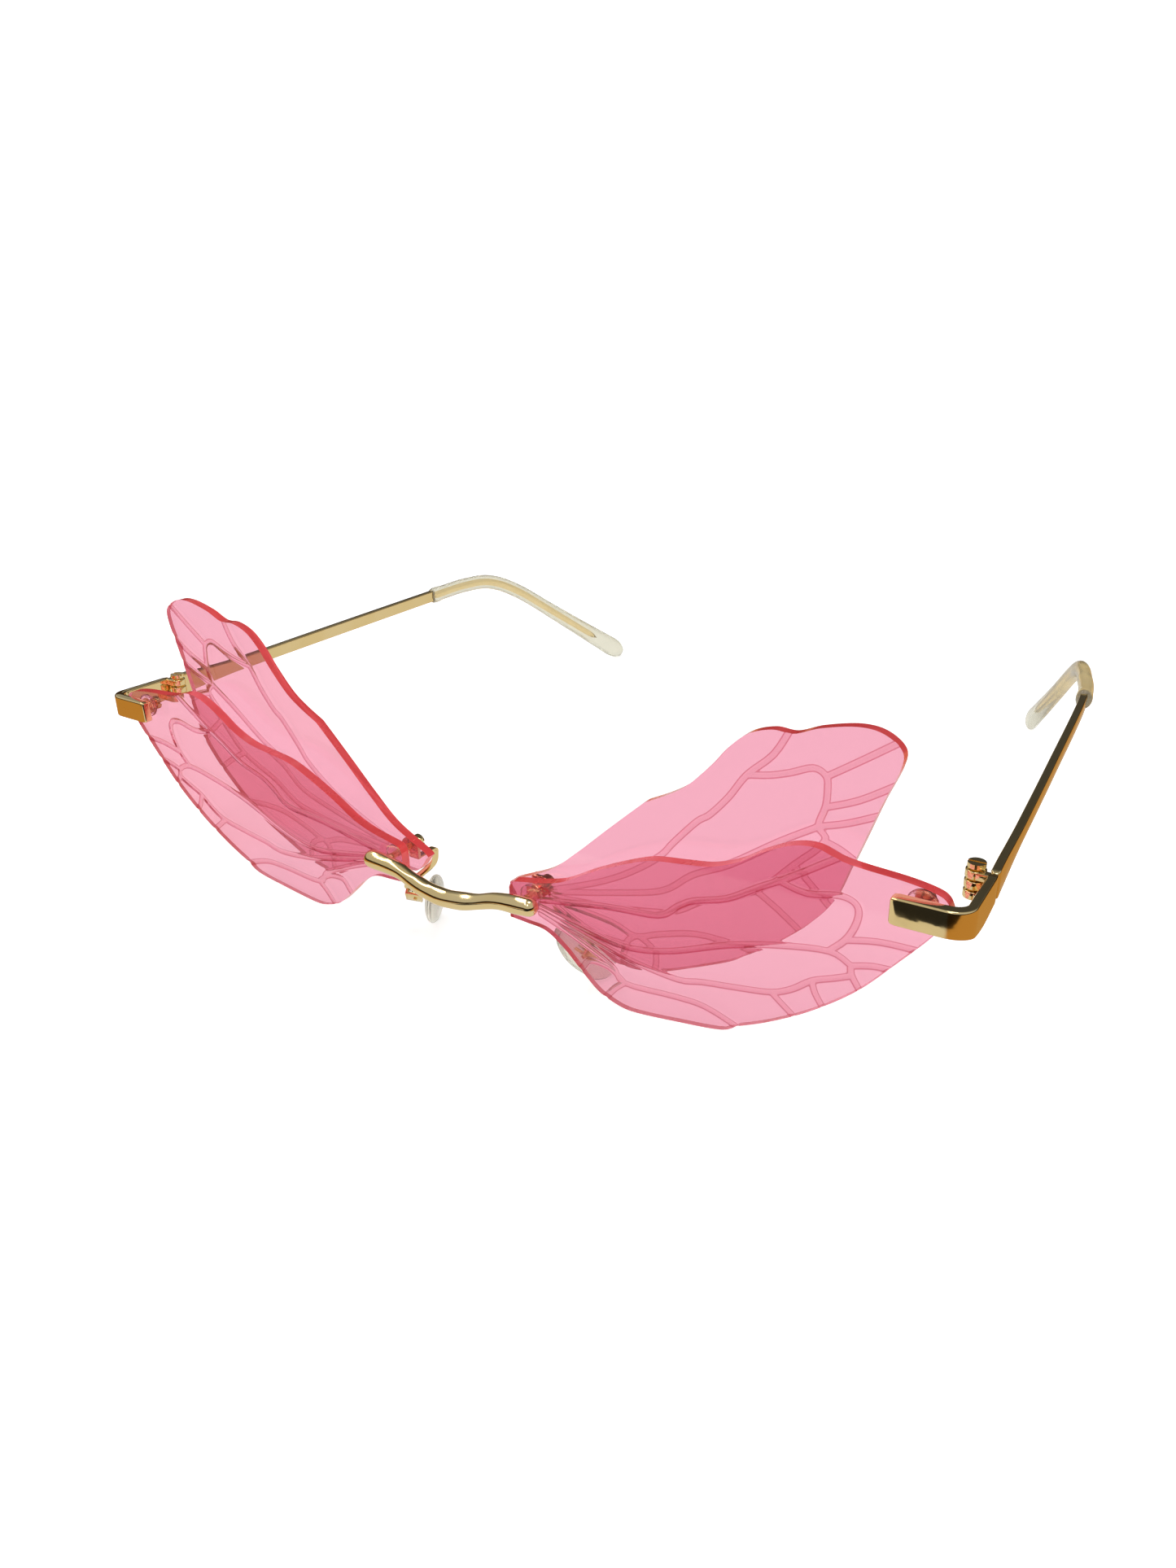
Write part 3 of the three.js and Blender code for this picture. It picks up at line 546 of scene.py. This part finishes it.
def edges_of(outline, columns):
    """The wing's lower and upper edge as heights over shared x. The closed outline is split where x is least
    and greatest, and the columns crowd towards both ends."""
    loop = np.vstack([smooth(stretch, 24) for stretch in outline])
    loop = np.roll(loop, -np.argmin(loop[:, 0]), axis=0)
    tip = np.argmax(loop[:, 0])
    out = loop[: tip + 1]
    home = np.vstack([loop[tip:], loop[:1]])[::-1]
    along = np.linspace(0, 1, columns)
    share = 0.35 * along + 0.65 * (0.5 - 0.5 * np.cos(np.pi * along))
    x = loop[0, 0] + share * (loop[tip, 0] - loop[0, 0])
    heights = [np.interp(x, np.maximum.accumulate(side[:, 0]), side[:, 1]) for side in (out, home)]
    return x, np.minimum(*heights), np.maximum(*heights)


def distance_to(veins, x, z):
    """How far each point lies from the nearest vein's middle line, straight piece by straight piece."""
    best = np.full(x.shape, FAR_FROM_VEINS)
    for vein in veins:
        line = smooth(vein, 4)
        for a, b in zip(line[:-1], line[1:]):
            d = b - a
            t = np.clip(((x - a[0]) * d[0] + (z - a[1]) * d[1]) / (d @ d), 0, 1)
            best = np.minimum(best, np.hypot(x - a[0] - t * d[0], z - a[1] - t * d[1]))
    return best


def wing_lens(name, outline, veins, place):
    """Each face is one grid: across it x runs from root to tip, and up it the height runs from the lower
    edge to the upper one. The front face sinks along the veins in round grooves, by half a cosine wave of the
    distance from the vein. The rim joins the two faces all round."""
    columns, rows = ((330, 145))
    x, low, high = edges_of(outline, columns)
    z = low[:, None] + (high - low)[:, None] * np.linspace(0, 1, rows)
    x = np.broadcast_to(x[:, None], z.shape)
    away = np.minimum(distance_to(veins, x, z) / GROOVE_REACH, 1)
    front = -LENS_T / 2 + GROOVE_DEPTH * (0.5 + 0.5 * np.cos(np.pi * away))
    back = np.full_like(z, LENS_T / 2)
    index = np.arange(columns * rows).reshape(columns, rows)
    quads = np.stack([index[:-1, :-1], index[1:, :-1], index[1:, 1:], index[:-1, 1:]], -1).reshape(-1, 4)
    border = np.concatenate([index[:, 0], index[-1, 1:], index[-2::-1, -1], index[0, -2:0:-1]])
    after = np.roll(border, -1)
    skin = Skin()
    skin.add(np.stack([x, front, z], -1), quads, slot=0)
    skin.add(np.stack([x, back, z], -1), quads, slot=1)
    skin.join(np.stack([border, after, after + index.size, border + index.size], -1), slot=2)
    piece = skin.build(name, place, [pink_front, pink_back, pink_edge], 45)
    mark_veins(piece, veins, place)
    soften_rim(piece)
    return piece


def soften_rim(piece):
    """Takes the sharpness off the sheet's two rims."""
    bevel = piece.modifiers.new("softened_edges", "BEVEL")
    bevel.width = RIM_BEVEL
    bevel.segments = 2
    bevel.limit_method = "ANGLE"
    bevel.angle_limit = math.radians(60)


def mark_veins(piece, veins, place):
    """Stores each vertex's distance from the nearest vein, in millimetres in the lens's own plane."""
    points = np.empty(len(piece.data.vertices) * 3)
    piece.data.vertices.foreach_get("co", points)
    origin, along, upward = place(np.array([[0, 0, 0], [1, 0, 0], [0, 0, 1]], float))
    away = (points.reshape(-1, 3) - origin) * 1e6
    x, z = away @ (along - origin), away @ (upward - origin)
    attribute = piece.data.attributes.new("vein_distance", "FLOAT", "POINT")
    attribute.data.foreach_set("value", distance_to(veins, x, z).astype(np.float32))


# ---------- the bridge ----------
def bridge_bar():
    """A round section carried along the twig's curve, thick at the knots and closed by half rounds."""
    steps = 120
    half = np.array([[14.8, 0, -11.5], [12, 0, -11.7], [9, -0.15, -12], [6, -0.5, -12.8], [3, -0.85, -13.3]])
    points = np.vstack([half, [[0, -0.95, -13.5]], half[::-1] * [-1, 1, 1]])[::-1]
    points[:, 1] += BAR_FRONT - BAR_R + np.abs(points[:, 0]) * FACE_WRAP
    path = evenly(smooth(points, 16), steps)
    t = np.linspace(0, 1, steps)
    knots = 0.93 + 0.07 * np.cos(4 * np.pi * t)
    hammered = 1 + 0.025 * np.sin(23 * t) + 0.02 * np.sin(41 * t + 1)
    radius = BAR_R * knots * hammered
    turn = np.linspace(0, np.pi / 2, 9)[:-1]
    cap = np.cos(turn)[:, None] * BAR_R * 0.95
    start = path[0] - cap * unit(path[1] - path[0])
    end = (path[-1] + cap * unit(path[-1] - path[-2]))[::-1]
    size = np.concatenate([radius[0] * np.sin(turn), radius, radius[-1] * np.sin(turn)[::-1]])
    skin = Skin()
    skin.tube(carried(np.vstack([start, path, end]), oval(size, size, 36)))
    return skin.build("twig_bridge", lay_whole, [gold])


# ---------- nose pads ----------
PAD_LONG = unit(np.array([0.42, 0.5, -0.757]))
PAD_ACROSS = unit(np.cross(PAD_LONG, [-0.9, 0.34, 0.0]))
PAD_FACE = np.cross(PAD_ACROSS, PAD_LONG)


def on_pad(points):
    """From the pad's own directions (across, down its length, towards the nose) into the half."""
    return PAD_CENTRE + np.asarray(points) @ np.array([PAD_ACROSS, PAD_LONG, PAD_FACE])


def nose_pad(side):
    """A leaf whose outline is an ellipse and whose edge is rounded, with a boss behind it for the pin."""
    skin = Skin()
    turn = np.linspace(0, np.pi, 25)
    share = np.sin(turn) ** 0.55
    lift = -np.cos(turn) * PAD_T / 2
    lift = np.where(lift > 0, lift * 0.92, lift)
    ring = oval(share * PAD_WIDTH / 2, share * PAD_LENGTH / 2, 48)
    rings = np.concatenate([ring, np.broadcast_to(lift[:, None, None], (*ring.shape[:2], 1))], -1)
    skin.tube(on_pad(rings))
    boss = button(PAD_BOSS_R, -PAD_BOSS_HALF_W, PAD_BOSS_HALF_W, 0.08)
    turned(skin, on_pad([0, PAD_PIN_DOWN, PAD_PIN_OUT]), PAD_ACROSS, boss, 28)
    neck_half_w, neck_half_h = PAD_BOSS_HALF_W - 0.01, 0.7
    low = np.array([-neck_half_w, PAD_PIN_DOWN - neck_half_h, PAD_PIN_OUT])
    high = np.array([neck_half_w, PAD_PIN_DOWN + neck_half_h, -1.0])
    block(skin, low, high, 0.08, on_pad)
    return skin.build(f"soft_nose_pad_{side}", lambda p: lay(p, side), [clear_pad])


def ribbon(skin, start, box):
    """A flat strip from the eyelet to the box: straight back, then over a shoulder and down."""
    x, y, z = start
    path = np.array([
        start, [x, 7.2, z], [x + 0.1, 8.2, z - 0.25], [x + 0.3, 8.7, z - 1], [x + 1.4, 8.9, z - 3.8],
        box + [-0.9, -0.4, 1.4], box,
    ])
    path = evenly(smooth(path, 10), 60)
    travel = unit(np.gradient(path, axis=0))
    thin = unit(np.cross(travel, [1, 0, 0]))
    section = rounded(np.full(len(path), RIBBON_HALF_W), RIBBON_HALF_T, 0.15, 4)
    skin.tube(around(path, section, np.cross(thin, travel), thin))


def pad_arm(side):
    """An eyelet behind the rear lens, a flat ribbon back and down from it, and a two-cheeked box."""
    skin = Skin()
    eyelet = np.array([BRIDGE_X, REAR_FACE + GAP, BRIDGE_Z])
    turned(skin, eyelet, (0, 1, 0), button(EYELET_R, 0, ARM_T, 0.12), 36)
    block(skin, eyelet + [-1.9, 0.02, -1.95], eyelet + [0.1, ARM_T - 0.02, 1.45], 0.15)
    ribbon(skin, eyelet + [-1.35, 0.1, -1.7], on_pad([0, PAD_PIN_DOWN - 1.3, BOX_BACK - 0.2]))
    cheek_back = BOX_BACK - BOX_WALL + 0.15
    for left, right, back, front in ((-BOX_HALF_W, BOX_HALF_W, BOX_BACK - BOX_WALL, BOX_BACK),
                                     (-BOX_HALF_W, -BOX_ROOM, cheek_back, BOX_MOUTH),
                                     (BOX_ROOM, BOX_HALF_W, cheek_back, BOX_MOUTH)):
        low = np.array([left, PAD_PIN_DOWN - BOX_HALF_H, back])
        block(skin, low, np.array([right, PAD_PIN_DOWN + BOX_HALF_H, front]), 0.12, on_pad)
    return skin.build(f"pad_arm_wire_{side}", lambda p: lay(p, side), [gold])


# ---------- end pieces, hinges and temples ----------
def end_piece(side):
    """A flat band, bent round the lens's outer end: a rounded rectangle carried along an L with a round
    corner. From front to back it thins, grows to the temple's height and sags along its lower edge."""
    turn = np.linspace(-np.pi / 2, 0, 22)
    front, rear = BAR_FRONT - END_T, BUTT_Y - GAP
    corner_x, corner_y = WALL_OUTER - END_BEND_R, front + END_BEND_R
    corner = np.stack([corner_x + END_BEND_R * np.cos(turn), corner_y + END_BEND_R * np.sin(turn)], -1)
    bar = np.stack([np.linspace(END_INNER_X, corner_x - 0.2, 16), np.full(16, front)], -1)
    back = np.stack([np.full(20, WALL_OUTER), np.linspace(corner_y + 0.2, rear, 20)], -1)
    outer = np.vstack([bar, corner, back])
    share = np.clip((outer[:, 1] - front) / (rear - front), 0, 1)
    bent = np.clip((outer[:, 1] - front) / END_BEND_R, 0, 1)
    thick = END_T + (RETURN_T - END_T) * bent
    middle = outer + to_the_left(outer) * thick[:, None] / 2
    level = END_Z + share * (HINGE_Z - END_Z)
    half_height = (END_HEIGHT + share * (TEMPLE_ROOT_H - END_HEIGHT)) / 2
    top = level + half_height
    bottom = level - half_height - END_SAG * np.sin(np.pi * np.clip(share * 1.05, 0, 1)) ** 1.4
    path = np.stack([middle[:, 0], middle[:, 1], (top + bottom) / 2], -1)
    path[1] = path[0] + [0.22, 0, 0]
    path[-2] = path[-1] - [0, 0.22, 0]
    draw = np.zeros(len(path))
    draw[[0, 1, -2, -1]] = [END_EDGE_R, 0.08, 0.08, END_EDGE_R]
    section = rounded(thick / 2 - draw, (top - bottom) / 2 - draw, END_EDGE_R - draw * 0.4)
    across = np.pad(to_the_left(path[:, :2]), ((0, 0), (0, 1)))
    skin = Skin()
    skin.tube(around(path, section, across, np.broadcast_to([0, 0, 1.0], across.shape)))
    for step in (-1, 1):
        knuckle(skin, step, HINGE_Y - KNUCKLE_R + 0.03, rear, WALL_OUTER - RETURN_T + 0.3)
    return skin.build(f"bent_end_piece_{side}", lambda p: lay(p, side), [gold])


def to_the_left(path):
    """The level directions to the left of a level path's travel."""
    travel = unit(np.gradient(path, axis=0))
    return travel[:, ::-1] * [-1, 1]


def knuckle(skin, step, front, back, wall):
    """One turned knuckle with its tongue to the wall, a number of steps above the hinge's middle."""
    middle = HINGE_Z + step * (KNUCKLE_H + GAP)
    half = KNUCKLE_H / 2
    turned(skin, (HINGE_X, HINGE_Y, middle), (0, 0, 1), button(KNUCKLE_R, -half, half, 0.13), 44)
    low = np.array([HINGE_X, front, middle - half + 0.02])
    block(skin, low, np.array([wall, back, middle + half - 0.02]), 0.12)


TEMPLE_PATH = smooth([
    [TEMPLE_X, BUTT_Y, HINGE_Z], [TEMPLE_X - 0.4, 20, HINGE_Z], [TEMPLE_X - 1.3, 48, HINGE_Z + 0.4],
    [TEMPLE_X - 2.6, SLEEVE_Y, HINGE_Z + 0.9], [TEMPLE_X - 4.4, 91, HINGE_Z + 1.4],
    [TEMPLE_X - 6.3, 98, HINGE_Z + 0.7], [TEMPLE_X - 8.6, 105.5, HINGE_Z - 3],
    [TEMPLE_X - 12.3, 115, HINGE_Z - 10.1], [TEMPLE_X - 16, 124, HINGE_Z - 17],
    [TEMPLE_X - 20.4, 134.5, HINGE_Z - 25],
], 40)


def path_between(depth, share, count):
    """The temple's middle line from a depth to a share of its whole length, in even steps."""
    line = evenly(TEMPLE_PATH, 1600)
    start = int(np.argmax(line[:, 1] >= depth))
    return evenly(line[start: int(share * len(line))], count)


def temple(side):
    """A flat bar, deep at the hinge and slim along the side, ending in a wire inside the sleeve."""
    skin = Skin()
    path = path_between(BUTT_Y, 1.0, 1400)
    path = path[path[:, 1] < SLEEVE_Y + 1.2][::5]
    depth = path[:, 1]
    tall = np.interp(depth, [BUTT_Y, 14, 19, 25], [TEMPLE_ROOT_H, 3.7, 3.0, TEMPLE_H]) / 2
    tall = np.convolve(np.pad(tall, 4, mode="edge"), np.ones(9) / 9, "valid")
    draw = np.zeros(len(path))
    draw[[0, -1]] = 0.25
    skin.tube(carried(path, rounded(TEMPLE_T / 2 - draw, tall - draw, 0.22, 6)))
    wire = path_between(SLEEVE_Y - 2, 0.92, 80)
    size = np.ones(len(wire))
    size[-4:] = [0.95, 0.8, 0.5, 0.1]
    skin.tube(carried(wire, oval(WIRE_HALF_W * size, WIRE_HALF_H * size, 20)))
    knuckle(skin, 0, BUTT_Y, HINGE_Y + KNUCKLE_R - 0.03, TEMPLE_X)
    return skin.build(f"temple_bar_{side}", lambda p: lay(p, side), [gold])


def sleeve(side):
    """An oval section along the temple's end: a raised lip at the mouth, a slow flare and a rounded tip."""
    path = path_between(SLEEVE_Y, 0.996, 150)
    share = np.linspace(0, 1, len(path))
    tip = np.sqrt(np.clip(1 - ((share - 0.93) / 0.07).clip(0, 1) ** 2.2, 0, 1))
    mouth = 1 - 0.35 * np.exp(-(share / 0.004))
    lip = SLEEVE_LIP * (1 - np.clip((share - 0.03) / 0.02, 0, 1))
    flare = SLEEVE_FLARE * np.clip((share - 0.5) / 0.42, 0, 1) ** 1.3
    half = (SLEEVE_HALF_W + lip) * tip * mouth
    tall = (SLEEVE_HALF_H + 1.5 * lip + flare) * tip * mouth
    skin = Skin()
    skin.tube(carried(path, oval(half, tall, 40)))
    return skin.build(f"clear_sleeve_{side}", lambda p: lay(p, side), [clear_sleeve])


def washer(name, side, radius, x, z, back, dome):
    """A clear disc on the back of the front lens, domed towards its own back, with a flat middle."""
    skin = Skin()
    front = LENS_T / 2 + GAP
    turn = np.linspace(0, np.pi / 2, 10)[:-1]
    edge = np.stack([radius * np.cos(turn), back - dome + dome * np.sin(turn)], -1)
    profile = np.vstack([[[radius - 0.08, front], [radius, front + 0.08]], edge, [[WASHER_FLAT_R, back]]])
    turned(skin, (x, 0, z), (0, 1, 0), profile, 44)
    return skin.build(f"{name}_{side}", lambda p: lay(p, side), [clear_washer])


# ---------- putting it together ----------
def fit(piece, body, slot, *nodes):
    """Lets a piece ride on a body in place of the frame's own nodes."""
    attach(piece, body)
    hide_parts(*nodes)


fit(bridge_bar(), "front", "gold_metal", "bridge_bar")
for side in ("left", "right"):
    fit(wing_lens(f"front_wing_lens_{side}", FRONT_WING, FRONT_VEINS, lambda p: lay(p, side)),
        "front", "pink_lens", f"front_wing_{side}")
    fit(wing_lens(f"rear_wing_lens_{side}", REAR_WING, REAR_VEINS, lambda p: lay(lean(p), side)),
        "front", "pink_lens", f"rear_wing_{side}")
    fit(pad_arm(side), "front", "gold_metal", f"pad_arm_{side}")
    fit(nose_pad(side), f"nose_pad_{side}", "clear_plastic", f"nose_pad_{side}")
    fit(end_piece(side), "front", "gold_metal", f"end_piece_{side}")
    fit(temple(side), f"temple_{side}", "gold_metal", f"temple_{side}")
    fit(sleeve(side), f"temple_{side}", "clear_plastic", f"temple_sleeve_{side}")
    washer_back = LENS_T / 2 + GAP + END_WASHER_T
    fit(washer("end_washer_dome", side, END_WASHER_R, END_X, END_Z, washer_back, 0.8),
        "front", "clear_plastic", f"end_washer_{side}")
    spacer_back = REAR_GAP - LENS_T / 2 - GAP
    fit(washer("spacer_ring", side, SPACER_R, BRIDGE_X, BRIDGE_Z, spacer_back, 0.3),
        "front", "clear_plastic", f"lens_spacer_{side}")
    for kept in ("bridge_screw", "end_screw", "hinge_screw", "pad_pin"):
        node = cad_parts[f"{kept}_{side}"]
        node.data.materials.clear()
        node.data.materials.append(gold)


# ---------- stage, light and camera ----------
FLOOR_R, SWEEP_R, SWEEP_RISE = 0.8, 1.7, 0.42


def pale_sweep():
    """A round floor that curves up at its rim. Its height is zero on the flat part, and beyond it grows with
    the square of the distance from there."""
    sides = 96
    radius = np.concatenate([np.linspace(0.002, FLOOR_R, 24), np.linspace(FLOOR_R + 0.02, SWEEP_R, 30)])
    height = SWEEP_RISE * np.clip((radius - FLOOR_R) / (SWEEP_R - FLOOR_R), 0, 1) ** 2
    flat = oval(radius, radius, sides)
    rings = np.concatenate([flat, np.broadcast_to(height[:, None, None], (*flat.shape[:2], 1))], -1)
    here = np.arange(len(radius) * sides).reshape(-1, sides)
    beside = np.roll(here, -1, axis=1)
    quads = np.stack([here[:-1], here[1:], beside[1:], beside[:-1]], -1).reshape(-1, 4)
    mesh = bpy.data.meshes.new("pale_sweep")
    mesh.from_pydata(rings.reshape(-1, 3).tolist(), [], quads.tolist() + [here[0].tolist()])
    mesh.shade_smooth()
    sweep = bpy.data.objects.new("pale_sweep", mesh)
    bpy.context.scene.collection.objects.link(sweep)
    return sweep


def sweep_paint():
    """Softly glowing white paper. Mirror reflections see a painted room instead, as painted reflections:
    amber beside the glasses, neutral between the temples, dark far away, and a painted shadow where whoever
    looks at them leans over."""
    material, shader, nodes, links = finish_of("white_paper")
    set_values(shader, Roughness=0.9, Specular_IOR_Level=0.1, Emission_Strength=0.55)
    set_values(shader, Base_Color=(0.93, 0.93, 0.93, 1), Emission_Color=(1, 1, 1, 1))
    place = nodes.new("ShaderNodeTexCoord")
    split = nodes.new("ShaderNodeSeparateXYZ")
    links.new(place.outputs["Object"], split.inputs["Vector"])

    def ramp(source, start, end, first, last):
        fade = nodes.new("ShaderNodeMapRange")
        fade.interpolation_type = "SMOOTHSTEP"
        set_values(fade, From_Min=start, From_Max=end, To_Min=first, To_Max=last)
        links.new(source, fade.inputs["Value"])
        return fade.outputs["Result"]

    def math_of(operation, *sources):
        step = nodes.new("ShaderNodeMath")
        step.operation = operation
        step.use_clamp = operation == "SUBTRACT"
        for socket_in, source in zip(step.inputs, sources):
            links.new(source, socket_in)
        return step.outputs[0]

    reach = nodes.new("ShaderNodeVectorMath")
    reach.operation = "LENGTH"
    links.new(place.outputs["Object"], reach.inputs[0])
    far = ramp(reach.outputs["Value"], 0.26, 0.42, 0.85, 0.05)
    lit_behind = ramp(split.outputs["Y"], -0.1315, -0.1285, 0.03, 1)
    lit_beside = ramp(split.outputs["X"], -0.05, -0.03, 1, 0)
    shade = math_of("MAXIMUM", lit_behind, lit_beside)
    aside = ramp(math_of("ABSOLUTE", split.outputs["X"]), 0.06, 0.08, 0, 1)
    tone = nodes.new("ShaderNodeMix")
    tone.data_type = "RGBA"
    tone.inputs["A"].default_value = (0.82, 0.80, 0.76, 1)
    tone.inputs["B"].default_value = (0.58, 0.30, 0.075, 1)
    links.new(aside, tone.inputs["Factor"])
    # painted reflection: emission that only mirror rays see, with a painted shadow of the onlooker in front
    painted_reflection = nodes.new("ShaderNodeEmission")
    links.new(tone.outputs["Result"], painted_reflection.inputs["Color"])
    links.new(math_of("MULTIPLY", far, shade), painted_reflection.inputs["Strength"])
    path = nodes.new("ShaderNodeLightPath")
    mirrored = math_of("SUBTRACT", path.outputs["Is Glossy Ray"], path.outputs["Is Transmission Ray"])
    mix = nodes.new("ShaderNodeMixShader")
    links.new(mirrored, mix.inputs["Fac"])
    links.new(shader.outputs["BSDF"], mix.inputs[1])
    links.new(painted_reflection.outputs["Emission"], mix.inputs[2])
    links.new(mix.outputs["Shader"], nodes["Material Output"].inputs["Surface"])
    return material


sweep = pale_sweep()
sweep.data.materials.append(sweep_paint())


def soft_light(name, place, aim, size, power, colour=(1, 1, 1), length=None):
    """A round panel that faces its aim, or with a length a long one."""
    lamp = bpy.data.lights.new(name, "AREA")
    lamp.shape = "RECTANGLE" if length else "DISK"
    lamp.size = length or size
    lamp.size_y = size
    lamp.energy = power
    lamp.color = colour
    made = bpy.data.objects.new(name, lamp)
    made.location = place
    made.rotation_euler = (Vector(aim) - Vector(place)).to_track_quat("-Z", "Y").to_euler()
    bpy.context.scene.collection.objects.link(made)


soft_light("overhead_panel", (0.1, 0.1, 1.2), (0, 0, 0), 0.45, 1.8)
soft_light("front_panel", (0.15, -0.7, 1.0), (0, 0, 0.03), 0.3, 0.8)
soft_light("window_strip", (-0.45, -0.12, 0.8), (0, 0, 0.03), 0.09, 1.5, (1.0, 0.97, 0.92), 1.1)


def room():
    """White paper to the eye. As light it is even from above and dimmer behind the glasses, so that polished
    metal has something dark to show."""
    world = bpy.data.worlds.new("studio_room")
    world.use_nodes = True
    nodes, links = world.node_tree.nodes, world.node_tree.links
    place = nodes.new("ShaderNodeTexCoord")
    towards = nodes.new("ShaderNodeVectorMath")
    towards.operation = "DOT_PRODUCT"
    towards.inputs[1].default_value = (-0.15, 0.90, 0.41)
    ramp = nodes.new("ShaderNodeValToRGB")
    ramp.color_ramp.elements[0].color = (0.70, 0.70, 0.70, 1)
    ramp.color_ramp.elements[1].color = (0.08, 0.08, 0.08, 1)
    for at, grey in ((0.55, 0.72), (0.80, 0.30), (0.90, 0.13)):
        ramp.color_ramp.elements.new(at).color = (grey, grey, grey * 0.98, 1)
    links.new(place.outputs["Generated"], towards.inputs[0])
    links.new(towards.outputs["Value"], ramp.inputs["Fac"])
    links.new(ramp.outputs["Color"], nodes["Background"].inputs["Color"])
    nodes["Background"].inputs["Strength"].default_value = 0.72
    paper = nodes.new("ShaderNodeBackground")
    paper.inputs["Color"].default_value = (1, 1, 1, 1)
    path = nodes.new("ShaderNodeLightPath")
    through = nodes.new("ShaderNodeMath")
    through.operation = "MAXIMUM"
    mix = nodes.new("ShaderNodeMixShader")
    links.new(path.outputs["Is Camera Ray"], through.inputs[0])
    links.new(path.outputs["Is Transmission Ray"], through.inputs[1])
    links.new(through.outputs[0], mix.inputs["Fac"])
    links.new(nodes["Background"].outputs[0], mix.inputs[1])
    links.new(paper.outputs[0], mix.inputs[2])
    links.new(mix.outputs[0], nodes["World Output"].inputs["Surface"])
    bpy.context.scene.world = world


room()


def place_camera():
    """A camera in front of the wearer's left lens, above it, and turned a little on its own axis."""
    azimuth, elevation, roll = math.radians(34.02), math.radians(27.40), math.radians(-3.69)
    level = Vector((math.sin(azimuth), -math.cos(azimuth), 0))
    back = level * math.cos(elevation) + Vector((0, 0, math.sin(elevation)))
    right = Vector((0, 0, 1)).cross(back).normalized()
    facing = Matrix((right, back.cross(right), back)).transposed().to_4x4()
    data = bpy.data.cameras.new("camera")
    data.sensor_width = 36
    data.lens = 27.0887
    data.clip_start, data.clip_end = 0.005, 20
    camera = bpy.data.objects.new("camera", data)
    stand = Matrix.Translation((0.10213, -0.17921, 0.11388))
    camera.matrix_world = stand @ facing @ Matrix.Rotation(roll, 4, "Z")
    bpy.context.scene.collection.objects.link(camera)
    bpy.context.scene.camera = camera


place_camera()
bpy.context.scene.view_settings.view_transform = "Standard"
